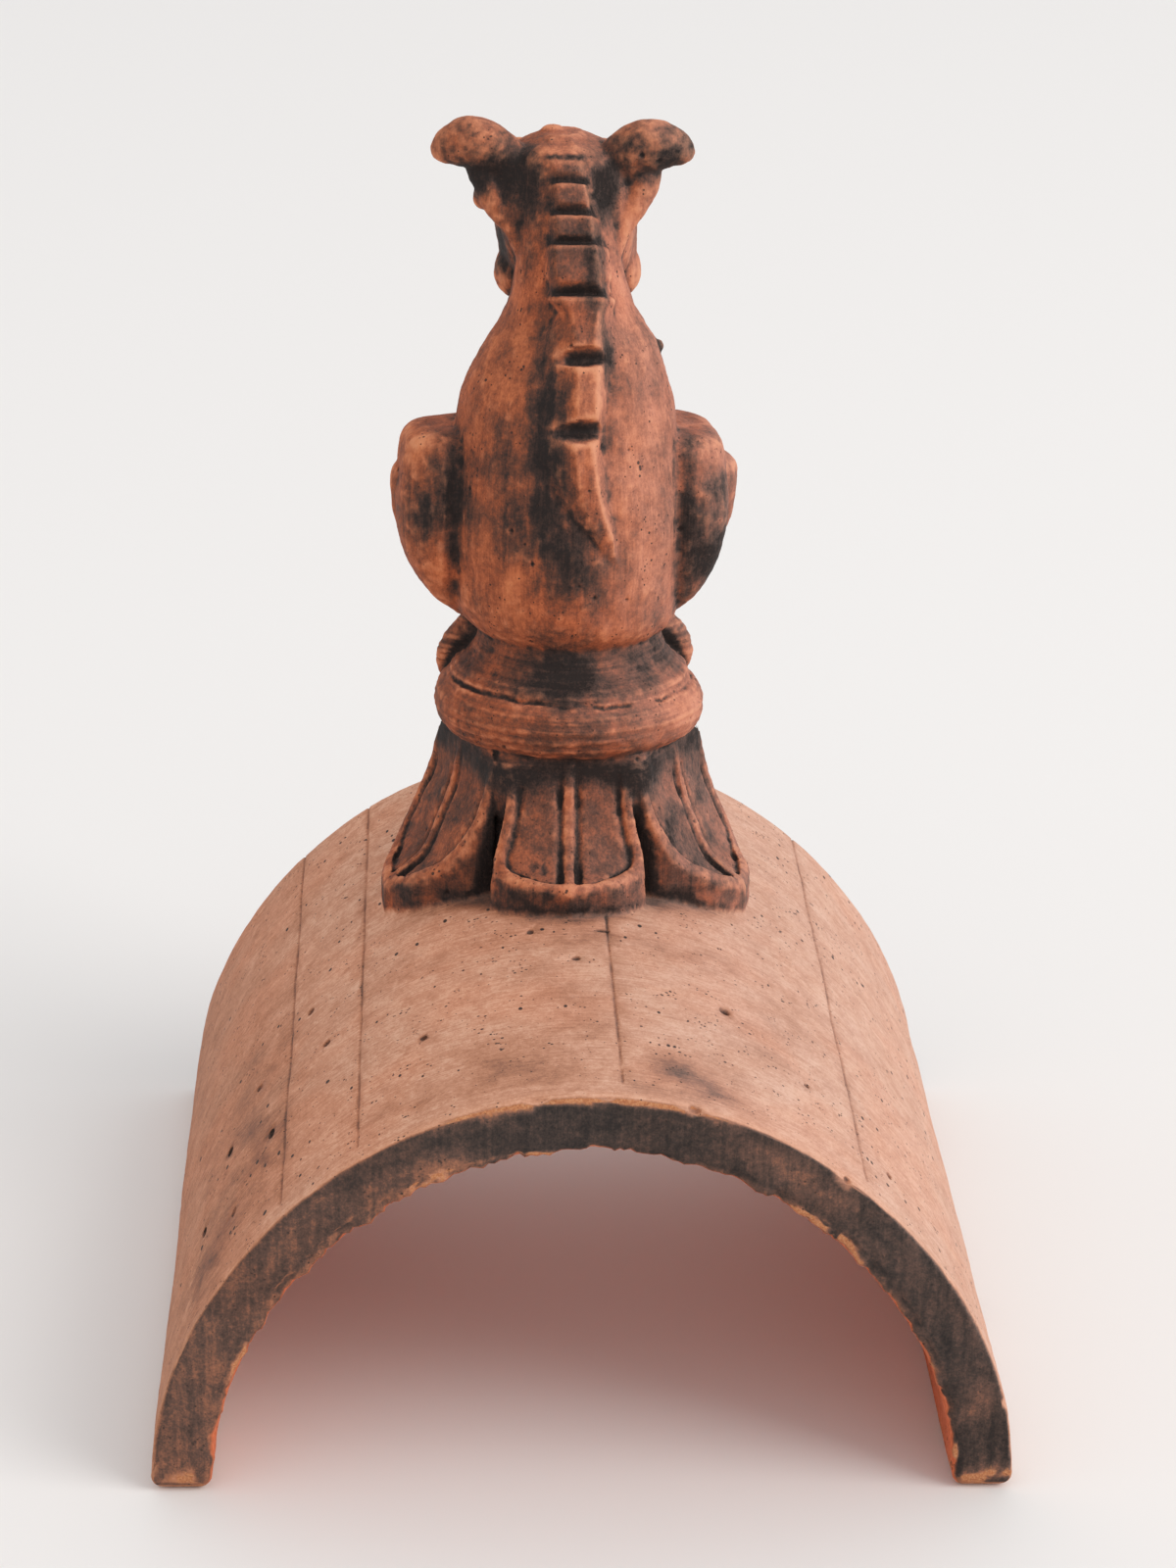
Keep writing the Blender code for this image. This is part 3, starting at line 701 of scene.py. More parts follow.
foot = [(FOOT_RADIUS * (1 - math.sin(a)), FOOT_RADIUS * (1 - math.cos(a)))
        for a in np.linspace(0, np.pi / 2, 7)]
# turn along the arch, how far the wall draws in, and the height below which the foot is flat
STATIONS = np.array(
    [(0, *rest) for rest in foot] + [(turn, 0, -1) for turn in turns]
    + [(np.pi, *rest) for rest in foot[::-1]])


def tile_shape(around, along):
    piece = np.rint(around * len(SECTION)).astype(int) % len(SECTION)
    station = STATIONS[np.rint(along * (len(STATIONS) - 1)).astype(int)]
    turn, draw_in, height = station.T
    depth, from_end = SECTION[piece].T
    depth = depth + draw_in * (1 - 2 * depth / WALL)
    from_end = from_end + draw_in * (1 - 2 * from_end / TILE_LENGTH)
    reach = TILE_RADIUS - HAUNCH * np.sin(2 * turn) ** 2 - depth
    return (reach * np.cos(turn), from_end - TILE_LENGTH / 2,
            np.where(height >= 0, height, SPRING + reach * np.sin(turn)))


tile = wrap("tile", len(SECTION), len(STATIONS) - 1, tile_shape)
print("tile:", len(tile.polygons), "faces")

# %% [markdown]
# ## Wear on the tile
# The slab is never quite true. Its outer face undulates, its inner arris crumbled when the clay was
# cut, and the scored lines are thin. The few large pits are cut out with a boolean, because the
# grid is too coarse for them.

# %% Wear the tile
def along_tile(spots):
    """Turn along the arch, distance from its middle line, and distance from the near end."""
    x, y, z = spots.T
    return np.arctan2(z - SPRING, x), np.hypot(x, z - SPRING), y + TILE_LENGTH / 2


spots, normals = read_points(tile)
turn, reach, from_end = along_tile(spots)
arc = turn * TILE_WIDTH / 2
outside = ease(reach, 121, 122)
push = 0.5 * grain(spots, 46) + 0.18 * grain(spots, 11) + 0.07 * grain(spots, 3)
push *= ease(spots[:, 2], 0, 6)
for scored in SCORED_TURNS:
    off_line = (arc - scored * TILE_WIDTH / 2) + 0.25 * grain(spots * (0, 1, 0), 9)
    push -= SCORE_DEPTH * outside * bell(off_line, 0, 0.35) * ease(from_end, 8, 12)
spots += normals * push[:, None]
# crumbled inner arris and nicked outer arris at the near end
inner = ease(reach, 110.5, 107.3) * ease(from_end, 5, 0)
crumble = 0.6 + 1.3 * grain(in_line(arc), 9, 3) + 0.9 * grain(in_line(arc), 2.6, 2)
outer = ease(reach, 123.3, 124.6) * ease(from_end, 3, 0)
nick = np.maximum(0, grain(in_line(arc) + 40, 6, 3) - 0.15) * 2.4
lift = inner * np.clip(crumble, -0.8, 2.6) - outer * np.clip(nick, 0, 1.6)
radial = np.stack((np.cos(turn), 0 * turn, np.sin(turn)), axis=1)
spots += radial * (lift * ease(spots[:, 2], 3, 9))[:, None]
spots[:, 1] += (inner * np.clip(crumble, 0, 2) * 0.8 + outer * np.clip(nick, 0, 1.2))
write_points(tile, spots)
print("inner arris crumbles by up to", round(float(lift.max()), 1), "mm")

# %% Cut the large pits
# turn from the crown in degrees, distance from the near end, half size across, along and deep
BIG_PITS = (
    (20.1, 75.9, 1.9, 2.6, 2.4), (-0.4, 96.3, 1.6, 1.8, 1.5), (3.6, 118, 2.4, 1.2, 1.4),
    (13.6, 1, 2.2, 2.2, 2), (-6.5, 118.5, 1.2, 2, 1.2), (-22, 60, 1.3, 1.6, 1.2),
    (-38, 96, 1.6, 2.2, 1.4), (-48, 64, 1.5, 3, 1.4), (-52, 110, 1.6, 2.6, 1.5),
    (-56, 40, 1.4, 3.2, 1.4), (36.5, 1, 1.6, 1.8, 1.8), (32, 50, 1, 1.4, 1),
    (46, 30, 1.2, 2.2, 1.2), (-41.5, 130, 1.5, 2.4, 1.4), (-58, 86, 1.5, 2.8, 1.5),
    (-64, 55, 1.4, 3, 1.4),
)
cutters = bmesh.new()
for turn_degrees, distance, *half_sizes in BIG_PITS:
    turn_here = math.radians(turn_degrees)
    reach_here = TILE_RADIUS - HAUNCH * math.sin(2 * turn_here) ** 2
    place = Vector((reach_here * math.sin(turn_here), distance - TILE_LENGTH / 2,
                    SPRING + reach_here * math.cos(turn_here))) * MM
    ball = bmesh.ops.create_icosphere(cutters, subdivisions=2, radius=MM)["verts"]
    bmesh.ops.scale(cutters, verts=ball, vec=half_sizes)
    turned = Matrix.Rotation(turn_here, 3, "Y")
    bmesh.ops.rotate(cutters, verts=ball, cent=(0, 0, 0), matrix=turned)
    bmesh.ops.translate(cutters, verts=ball, vec=place)
whole = as_object(tile, "ridge_tile_in_clay")
others = {"DIFFERENCE": as_object(as_mesh(cutters, "pits"), "pits"),
          "UNION": as_object(figure, "figure")}
for operation, other in others.items():
    cut = whole.modifiers.new(other.name, "BOOLEAN")
    cut.operation = operation
    cut.solver = "MANIFOLD"
    cut.object = other
joined = finished(whole)
for other in others.values():
    bpy.data.objects.remove(other)
print("joined:", len(joined.vertices), "points")

# %% [markdown]
# ## Keep one body, and fewer triangles
# The skin can leave crumbs the size of one cube, so only the largest body stays. Then a decimate
# takes triangles away where the surface is flat and leaves them where it is worked.

# %% Clean and thin the mesh
TRIANGLES = 192000


def largest_body(mesh):
    """Only the largest body of a mesh stays. Gives the number of crumbs that went."""
    bm = bmesh.new()
    bm.from_mesh(mesh)
    waiting, bodies = set(bm.verts), []
    while waiting:
        body, rim = set(), [waiting.pop()]
        while rim:
            vert = rim.pop()
            body.add(vert)
            for edge in vert.link_edges:
                other = edge.other_vert(vert)
                if other in waiting:
                    waiting.remove(other)
                    rim.append(other)
        bodies.append(body)
    bodies.sort(key=len)
    crumbs = [vert for body in bodies[:-1] for vert in body]
    bmesh.ops.delete(bm, geom=crumbs, context="VERTS")
    bmesh.ops.triangulate(bm, faces=bm.faces)
    bm.to_mesh(mesh)
    bm.free()
    return len(bodies) - 1


print("crumbs removed:", largest_body(joined))
thinned = as_object(joined, "thinned")
fewer = thinned.modifiers.new("fewer", "DECIMATE")
fewer.ratio = TRIANGLES / len(joined.polygons)
clay = finished(thinned)
check = bmesh.new()
check.from_mesh(clay)
bmesh.ops.triangulate(check, faces=check.faces)
# the decimate can fold two triangles flat onto each other; such a flap goes
twins = {}
for triangle in check.faces:
    corners = frozenset(vert.index for vert in triangle.verts)
    twins.setdefault(corners, []).append(triangle)
flaps = [triangle for pair in twins.values() if len(pair) > 1 for triangle in pair]
bmesh.ops.delete(check, geom=flaps, context="FACES")
crowded = sum(len(edge.link_faces) != 2 for edge in check.edges)
check.to_mesh(clay)
check.free()
clay.name = "dragon_ridge_tile"
piece = as_object(clay, "dragon_ridge_tile")
clay.shade_smooth()
print("whole piece:", len(clay.polygons), "triangles,", len(flaps), "in flaps,",
      crowded, "open or crowded edges")

# %% [markdown]
# ## Where the wash stayed
# The dark wash was brushed over the fired figure and wiped off again, so it stays where a cloth
# can't reach. How much sky a point sees tells how deep it lies, and how far it lies below its
# neighbours tells whether it is on an edge. Both are measured on the mesh and kept as attributes
# for the material, with the stains that this tile happens to have.

# %% Measure depth and edges
RAYS, RAY_LENGTH = 20, 30
# how far over the surface a ray starts, in mm
CLEAR = 0.15

spots, normals = read_points(clay)
ends = np.empty(len(clay.edges) * 2, dtype=np.int64)
clay.edges.foreach_get("vertices", ends)
first, second = ends.reshape(-1, 2).T
links = np.bincount(ends, minlength=len(spots))[:, None]


def softened(values, rounds):
    """Each point's values, mixed with the mean of its neighbours' so many times."""
    for _ in range(rounds):
        total = np.stack([
            np.bincount(first, weights=column[second], minlength=len(spots))
            + np.bincount(second, weights=column[first], minlength=len(spots))
            for column in values.T], axis=1)
        values = 0.5 * values + 0.5 * (total / links)
    return values


def sunk_below(rounds):
    """How far a point lies under the surface smoothed so many times, in mm."""
    return ((softened(spots, rounds) - spots) * normals).sum(axis=1)[:, None]


index = np.arange(RAYS) + 0.5
rise = np.sqrt(1 - index / RAYS)
swing = index * math.pi * (1 + math.sqrt(5))
spread = np.sqrt(1 - rise**2)
fan = np.stack((np.cos(swing) * spread, np.sin(swing) * spread, rise), axis=1)
tangent = np.cross(normals, np.where(np.abs(normals[:, 2:]) < 0.9, (0, 0, 1), (1, 0, 0)))
tangent /= np.linalg.norm(tangent, axis=1)[:, None]
other = np.cross(normals, tangent)
tree = BVHTree.FromPolygons(spots.tolist(), [tuple(face.vertices) for face in clay.polygons])
starts = (spots + normals * CLEAR).tolist()
covered = np.zeros(len(spots))
for a, b, c in fan:
    rays = (tangent * a + other * b + normals * c).tolist()
    for i, (start, ray) in enumerate(zip(starts, rays)):
        distance = tree.ray_cast(start, ray, RAY_LENGTH)[3]
        if distance is not None:
            covered[i] += 1 - distance / RAY_LENGTH
deep = softened(covered[:, None] / RAYS, 2)[:, 0]
hollow = softened(sunk_below(3), 1)[:, 0]
broad = sunk_below(14)[:, 0]
print("depth", round(float(deep.mean()), 3),
      "hollow", round(float(np.abs(hollow).mean()), 4), "mm")

# %% [markdown]
# ## Painting by place
# Broad stains are painted as soft patches round places on the dragon or on the tile. Numbers are
# kept for each point: how much dark wash and painted shade it holds, how far it was rubbed clean
# and where highlights are painted, how much raw orange clay shows, how much painted sheen the
# window side gets, and what it belongs to. A vector unrolls the surface in millimetres, so brush
# strokes can follow it.

# %% Say what belongs to what
turn, reach, from_end = along_tile(spots)
from_crown = 90 - np.degrees(turn)
above_tile = reach - TILE_RADIUS + HAUNCH * np.sin(2 * turn) ** 2
depth_in_wall = TILE_RADIUS - reach
on_tile = ease(above_tile, 2.2, 1)
near_face = on_tile * ease(normals[:, 1], -0.55, -0.85) * ease(from_end, 6, 3)
far_face = on_tile * ease(normals[:, 1], 0.55, 0.85) * ease(from_end, 266, 269)
face = np.maximum(near_face, far_face)
inside = on_tile * ease(reach, 110, 108.5) * (1 - face)
outside = on_tile * (1 - face) * (1 - inside)
blotch = grain(spots, 9, 3)
fine = grain(spots, 2.6, 2)
streaky = grain(spots, (2, 2, 16), 3)
print("points on the tile:", int(on_tile.sum()), "of", len(spots))

# %% Find the notches and the petals' lines again
height = spots[:, 2]
yaw = yaw_at(height)
off_x, off_y = spots[:, 0] - AXIS_X, spots[:, 1] - AXIS_Y
side_here = off_x * np.cos(yaw) + off_y * np.sin(yaw) - lean_at(height)
ahead_here = off_y * np.cos(yaw) - off_x * np.sin(yaw)
middle, flat, proud = crest_at(height)
back_slope = np.interp(height, SPINE[:, 0], np.gradient(SPINE[:, 1], SPINE[:, 0]))
stands_out = np.interp(height, SPINE[:, 0], SPINE[:, 1]) - ahead_here
up_back = height - stands_out * back_slope / (1 + back_slope**2)
on_back = ease(stands_out, -5, -2) * ease(height, 205, 215)
on_flat = on_back * ease(np.abs(side_here - middle), flat + 2.4, flat + 1.4)
# the notches are painted near black, for the wash in them and painted shade under each plate
notch_wash_and_shade, ledge_highlight = np.zeros(len(spots)), np.zeros(len(spots))
for deepest, depth, up, down in NOTCHES:
    above = up_back - deepest
    notch_wash_and_shade = np.maximum(notch_wash_and_shade, ease(notch_cut(above, up, down), 0.1, 0.85))
    ledge_highlight = np.maximum(ledge_highlight, bell(above + down, -0.7, 0.6))
notch_wash_and_shade, ledge_highlight = notch_wash_and_shade * on_flat, ledge_highlight * on_flat
# painted highlights: the crest's right edge, on the window side, and the ledges found above are
# made pale
right_edge_highlight = on_back * bell(side_here - middle - flat, 0.2, 0.9) * ease(proud, 0.5, 3)
right_edge_highlight *= 1 - notch_wash_and_shade
plates = on_back * ease(np.abs(side_here - middle), flat + 3.2, flat + 1.8)
plates *= ease(height, 306, 312) * ease(height, 353, 350)
petal_line, petal_rim, petal_panel = np.zeros((3, len(spots)))
petal_height = ease(height, 171, 168) * ease(above_tile, 3, 6)
for petal in PETALS:
    turn_here = math.radians(petal[0])
    out = -off_x * math.sin(turn_here) - off_y * math.cos(turn_here)
    beside = off_x * math.cos(turn_here) - off_y * math.sin(turn_here) - petal[4]
    here = petal_height * ease(out, PETAL_TOP, PETAL_TOP + 1)
    here = here * ease(normals[:, 2], 0, 0.05 + 0.2 * ease(height, 162, 154))
    inset, rim, from_rib = petal_parts(petal, out, beside)
    scored, groove = petal_grooves(inset, rim, from_rib)
    rolled = ease(inset, 0.2, 1) * ease(inset, rim + 0.2, rim - 0.5)
    midrib = ease(from_rib, 1.7, 1.1) * ease(inset, rim, rim + 2)
    panel = ease(inset, rim, rim + 1) * ease(from_rib, 1.7, 2.4)
    petal_line = np.maximum(petal_line, here * np.maximum(scored, groove))
    petal_rim = np.maximum(petal_rim, here * np.maximum(rolled, midrib))
    petal_panel = np.maximum(petal_panel, here * panel)
print("notched points:", int(notch_wash_and_shade.sum()), "points in petal lines:", int(petal_line.sum()))

# %% Wash on the figure
# place on the dragon, half sizes, strength
STAINS = (
    (-11.6, -30, 304, 4, 14, 8, 0.38), (-13.5, -33, 291, 5.6, 14, 9, 0.45),
    (-14.8, -35, 278, 7.2, 14, 10, 0.48), (-15.4, -36, 264, 8.6, 14, 10, 0.48),
    (-15.2, -37, 250, 9.8, 14, 9.5, 0.46), (-12, -37, 238, 10.5, 14, 8.5, 0.42),
    (-8, -37, 227, 12.5, 14, 8, 0.42), (-5, -40, 178, 17, 14, 8, 0.18),
    (6.5, -30, 295, 2.2, 12, 8, 0.6), (5, -36, 268, 3, 10, 10, 0.3),
    (-28, -28, 264, 5, 12, 9, 0.4), (-27, -30, 238, 4, 12, 8, 0.3), (7, -20, 322, 3, 10, 18, 0.4),
    (17, -36, 262, 4, 10, 12, 0.2), (-46, -12, 243, 12, 12, 8, 0.48),
    (-42, -10, 256, 6, 12, 11, 0.48), (-48, -10, 232, 14, 14, 18, 0.12),
    (42, -12, 226, 9, 10, 11, 0.42), (30, -22, 196, 14, 14, 5, 0.25),
    (-20, -34, 189, 16, 14, 4, 0.25),
)
# deep soft smudges of wash on the head, where no brush stroke shows
SMUDGES = (
    (-14, -8, 347.5, 10, 12, 7.5, 0.68), (-9.5, -8, 336, 5.5, 10, 9, 0.45),
    (12, -8, 346.5, 7.5, 12, 7.5, 0.8), (11.5, -8, 335, 5, 10, 9, 0.5),
    (-28, 2, 341, 5, 10, 6.5, 0.7), (-22, 8, 318, 5, 12, 9, 0.6), (-19, 4, 332, 6, 12, 6, 0.3),
    (-27, 4, 352, 13, 14, 9, 0.52), (30, 4, 352, 13, 14, 9, 0.58),
    (-39, -8, 240, 1.6, 10, 24, 0.4), (33.5, -16, 246, 2.4, 12, 24, 0.6),
    (41, -12, 219, 11, 14, 10, 0.4), (38.5, -12, 236, 6, 12, 10, 0.35),
    (46, -10, 246, 12, 14, 20, 0.24), (31, -38, 142, 15, 14, 18, 0.12),
    (26.3, 0, 290.5, 2.4, 3, 3, 1.2), (49, -36, 130, 12, 12, 9, 0.2),
    (-15, 34, 341, 8, 10, 7, 0.22), (15, 34, 341, 8, 10, 7, 0.22), (0, 68, 334, 13, 8, 6, 0.16),
    (-8.5, -34, 197, 10, 14, 8, 0.75),
)
# places that a thumb rubbed clean
RUBBED = (
    (-47, -12, 223, 9, 10, 9, 0.3), (14, -34, 262, 9, 12, 22, 0.25),
    (-25, -32, 222, 5, 12, 10, 0.25), (17, -26, 224, 10, 14, 10, 0.12),
    (-18, -24, 306, 6, 12, 12, 0.3), (18, -14, 318, 6, 12, 12, 0.3), (-48, -12, 258, 6, 8, 7, 0.4),
    (0, -40, 284, 4, 10, 9, 0.22), (-21, -2, 333, 3, 8, 7, 0.25), (19, -2, 332, 4, 8, 8, 0.3),
    (50, -12, 256, 7, 8, 6, 0.2), (34, -26, 178, 14, 16, 8, 0.35), (-30, -26, 192, 10, 14, 6, 0.2),
)
WEB_PATCH = (7, 7, 9)

figure_wash_and_shading = 0.38 + 0.75 * ease(deep, 0.16, 0.5) + 0.5 * ease(hollow, 0.02, 0.2)
figure_wash_and_shading += 0.15 * ease(broad, 0.2, 1.2)
edges = ease(-hollow, 0.03, 0.16)
figure_wash_and_shading -= (0.25 * edges + 0.18 * ease(-broad, 0.3, 1.4)) * (1 - 0.85 * plates)
for *patch, strength in STAINS:
    figure_wash_and_shading += strength * near(spots, *patch) * np.clip(1 + 0.4 * streaky, 0.4, 1.4)
for *patch, strength in SMUDGES:
    figure_wash_and_shading += strength * near(spots, *patch) * (1 + 0.4 * blotch) * (1 - 0.8 * plates)
for *patch, strength in RUBBED:
    figure_wash_and_shading -= strength * near(spots, *patch)
# painted shade: more wash in the undercut below the torus and under the body's lower edge, and a
# little more below the cavetto
under_torus_shade = ease(height, 170, 165) * ease(height, 155, 165)
under_body_shade = ease(height, 204, 199) * ease(height, 186, 191)
for turn_here in WEB_TURNS:
    web = -40 * math.sin(turn_here), -40 * math.cos(turn_here), 160
    figure_wash_and_shading += 0.35 * near(spots, *web, *WEB_PATCH)
figure_wash_and_shading += 0.38 * under_torus_shade + 0.24 * under_body_shade + 0.1 * ease(height, 190, 184)
figure_wash_and_shading += 0.2 * blotch + 0.08 * fine + 0.08 * streaky * ease(height, 204, 212)
# painted highlights take wash off the ledges and the crest's right edge
figure_wash_and_shading += (0.06 * petal_panel - 0.04 * petal_rim - 0.15 * right_edge_highlight - 0.2 * ledge_highlight
                + 0.2 * plates)
# painted shade on the petals' steep walls
petal_wall_shade = ease(height, 150, 144) * ease(normals[:, 2], 0.45, 0.15)
figure_wash_and_shading += 0.16 * petal_wall_shade * (1 + 1.2 * blotch)
# near black: the notches, for their wash and painted shade, and the petals' scored lines
darkest = np.maximum(0.97 * notch_wash_and_shade, petal_line * (0.85 + 0.2 * fine))
figure_wash_and_shading = np.maximum(figure_wash_and_shading, darkest)
on_figure = 1 - on_tile
print("figure wash, mean:", round(float((figure_wash_and_shading * on_figure).sum() / on_figure.sum()), 2))

# %% Wash, rubbing and raw clay on the tile
# turn from the crown in degrees, distance from the near end, half sizes in mm, strength
TILE_STAINS = (
    (13.5, 24, 12, 12, 0.34), (18, 12, 8, 5, 0.2), (9, 9, 10, 5, 0.16), (-14, 34, 9, 12, 0.12),
    (-8, 20, 16, 14, 0.2), (-1, 50, 12, 16, 0.12), (24, 60, 8, 16, 0.1), (-62, 30, 12, 24, 0.22),
    (-48, 50, 9, 20, 0.14), (2, 112, 60, 9, 0.12), (-24, 22, 12, 9, 0.14), (-5, 88, 7, 6, 0.12),
    (-2, 70, 8, 8, 0.1), (-52, 90, 16, 60, 0.16), (30, 90, 9, 20, 0.1),
)
tile_wash = 0.095 + 0.5 * ease(deep, 0.1, 0.34) + 0.05 * blotch + 0.1 * fine
tile_wash += 0.16 * ease(from_crown, -28, -80)
for turn_degrees, distance, half_arc, half_along, strength in TILE_STAINS:
    offset_arc = (from_crown - turn_degrees) * math.pi / 180 * TILE_RADIUS / half_arc
    offset_along = (from_end - distance) / half_along
    tile_wash += strength * np.exp(-(offset_arc**2) - offset_along**2) * (1 + 0.8 * blotch)
scored = np.zeros(len(spots))
for line in SCORED_TURNS:
    on_line = bell((turn - line) * TILE_RADIUS, 0, 0.6) * ease(from_end, 8, 12)
    scored = np.maximum(scored, on_line)
tile_wash += 0.34 * scored * outside * (0.8 + 0.7 * grain(spots * (0.2, 1, 0.2), 8))
along_arch = np.stack((turn * 118, 2.5 * depth_in_wall, 0 * turn), axis=1)
strokes = grain(along_arch * (0.14, 1, 1), 3, 3)
mid_wall = ease(np.abs(depth_in_wall - 8), 6, 1)
face_wash = 0.73 + 0.15 * strokes + 0.1 * blotch + 0.05 * ease(from_crown, -30, 10)
face_wash += 0.1 * bell(from_crown, 0, 24) - 0.07 * ease(from_crown, -14, -40)
face_wash -= 0.07 * ease(from_crown, -50, -75) - 0.07 * ease(from_crown, 55, 80)
face_wash -= 0.3 * bell(from_crown, -22, 6) * ease(depth_in_wall, 6, 13)
face_wash -= 0.22 * bell(from_crown, 30, 9) * mid_wall
face_wash -= 0.25 * bell(from_crown, 76, 4) * mid_wall
left_of_crown = bell(from_crown, -34, 14)
bitten = ease(depth_in_wall + 1.8 * left_of_crown, 15.2, 16.8)
bitten *= ease(grain(along_arch, 5, 3) + 0.1, -0.05, 0.4)
crumbs = ease(depth_in_wall, 16.7, 17.6) * ease(grain(along_arch + 5, 3), -0.35, 0.15)
bitten = np.maximum(bitten, crumbs)
bitten *= 0.25 + 0.75 * ease(grain(along_arch, 26), -0.05, 0.2)
worn_arris = ease(depth_in_wall, 2.6, 1.2) * ease(np.abs(from_crown + 2), 30, 14)
chips = ease(depth_in_wall, 1.3, 0.4) * ease(grain(along_arch, 5), -0.2, 0.2)
raw = face * np.maximum(bitten, 0.8 * np.maximum(worn_arris, chips))
foot_raw = ease(height, 9, 4) * ease(blotch + 0.1, 0, 0.3) * on_tile
raw = np.maximum(raw, np.maximum(0.8 * foot_raw, 0.5 * inside * ease(from_end, 2, 0.3)))
wash = on_figure * figure_wash_and_shading + outside * tile_wash + face * face_wash * (1 - 0.95 * raw)
# painted shade: more wash over the whole inside of the arch
wash += inside * 0.14
# rubbed edges are wear; the ledges and the crest's right edge add painted highlights
edges = ease(-hollow, 0.03, 0.18) * (1 - 0.8 * plates)
edges = np.maximum(edges, np.maximum(0.7 * ledge_highlight, 0.9 * right_edge_highlight))
rubbed_and_highlit = on_figure * edges + outside * ease(from_end, 5, 1.5) * 0.6
print("tile wash, mean:", round(float((tile_wash * outside).sum() / outside.sum()), 2))

# %% Keep the attributes
# which way the window light falls on the clay
TOWARD_WINDOW = np.array((0.85, -0.15, 0.5))

round_figure = np.arctan2(off_x, -off_y) * UNROLLED_RADIUS
sweep = np.stack((
    np.where(on_tile > 0.5, turn * TILE_RADIUS, round_figure),
    # on a cut end the strokes keep the last petal's direction
    np.where(face > 0.5, from_rib, np.where(on_tile > 0.5, spots[:, 1], height)),
    0 * turn,
), axis=1)
# painted sheen: points that face the window light, more so on the right, are made paler in the
# material
window_side_sheen = ease(normals @ TOWARD_WINDOW, -0.1, 0.95) * ease(spots[:, 0], -90, 60)
attributes = {
    "wash": np.clip(wash, 0, 1), "rubbed_and_highlit": np.clip(rubbed_and_highlit, 0, 1), "raw": np.clip(raw, 0, 1),
    "slab": on_tile, "cut_face": face, "inner": inside,
    "thrown": ease(height, 160, 168) * ease(height, 204, 199),
    "window_sheen": window_side_sheen * (1 - inside), "sweep": sweep,
}
for name, values in attributes.items():
    kind, field = ("FLOAT", "value") if values.ndim == 1 else ("FLOAT_VECTOR", "vector")
    layer = clay.attributes.new(name, kind, "POINT")
    layer.data.foreach_set(field, values.astype(np.float32).ravel())
print("attributes:", *attributes)

# %% [markdown]
# ## The material: washed terracotta
# Unglazed terracotta is matt, and its colour comes from iron: salmon where it was pressed smooth,
# orange where it broke. The wash over it is near black where thick and a warm brown where thin.
# Its colour is a ramp over the amount of wash, roughened by noises as fine as the grit (about
# 0.4 mm), the speckle (about 2 mm) and the brush strokes (hairs about 0.6 mm apart).

# %% Colours and nodes
def linear(hexadecimal):
    """An sRGB hex colour as a linear colour."""
    parts = [int(hexadecimal[i:i + 2], 16) / 255 for i in (1, 3, 5)]
    return (*[v / 12.92 if v <= 0.04045 else ((v + 0.055) / 1.055) ** 2.4 for v in parts], 1)


clay_stuff = bpy.data.materials.new("washed terracotta")
clay_stuff.use_nodes = True
tree = clay_stuff.node_tree


def add(kind, settings, inputs, out=0):
    """One output of a new node with its settings, and its inputs set to values or linked.

    Inputs go by name or number in a dict, or in their order in a tuple. A node that is there
    already can stand in for a kind.
    """
    node = tree.nodes.new("ShaderNode" + kind) if isinstance(kind, str) else kind
    for key, value in settings.items():
        setattr(node, key, value)
    for key, value in inputs.items() if isinstance(inputs, dict) else enumerate(inputs):
        if isinstance(value, bpy.types.NodeSocket):
            tree.links.new(value, node.inputs[key])
        else:
            node.inputs[key].default_value = value
    return node.outputs[out]


# %% Patterns in the clay
PER_MM = 1 / MM
PLUS, MINUS, TIMES, LARGER = (
    {"operation": name} for name in ("ADD", "SUBTRACT", "MULTIPLY", "MAXIMUM"))
CLAMPED = {"use_clamp": True}
SOFT_STEP = {"interpolation_type": "SMOOTHSTEP"}

here = add("TexCoord", {}, (), "Object")
told = {
    name: add("Attribute", {"attribute_name": name}, (),
              "Fac" if values.ndim == 1 else "Vector")
    for name, values in attributes.items()}
noises = []
# size in mm, detail, coordinates, their scale, and the stretch along each axis
for size, detail, coordinates, scale, stretch in (
    (0.6, 3, here, PER_MM, (1, 1, 1)), (1.7, 3, here, PER_MM, (1, 1, 1)),
    (16, 4, here, PER_MM, (1, 1, 1)), (55, 3, here, PER_MM, (1, 1, 1)),
    (7, 3, here, PER_MM, (1, 1, 1)), (13, 3, here, PER_MM, (1, 1, 1)),
    (0.9, 3, told["sweep"], 1, (26, 1, 1)), (0.75, 4, here, PER_MM, (1, 1, 16)),
):
    shrink = [scale / size / s for s in stretch]
    placed = add("Mapping", {}, {0: coordinates, "Scale": shrink})
    noises.append(add("TexNoise", {}, {
        "Vector": placed, "Scale": 1, "Detail": detail, "Roughness": 0.6}))
grit, speckle, cloud, broad_cloud, drifts, clusters, hairs, runs = noises
# scattered dots: small open pores, and longer specks where grit dragged under the former
pores, specks = (
    add("TexVoronoi", {}, {
        "Vector": add("Mapping", {}, {0: coordinates, "Scale": scale}),
        "Scale": 1, "Randomness": 1}, "Distance")
    for coordinates, scale in ((here, [PER_MM / 1.7] * 3), (told["sweep"], (1 / 4, 1 / 7, 1))))
print("patterns:", len(noises), "noises and two kinds of dots")

# %% Wash and pores
# brush strokes go round with the wheel on slab and collar, and down the dragon elsewhere
on_wheel = add("Math", LARGER, (told["slab"], told["thrown"]))
strokes = add("Mix", {"data_type": "FLOAT"}, {0: on_wheel, 2: runs, 3: hairs})
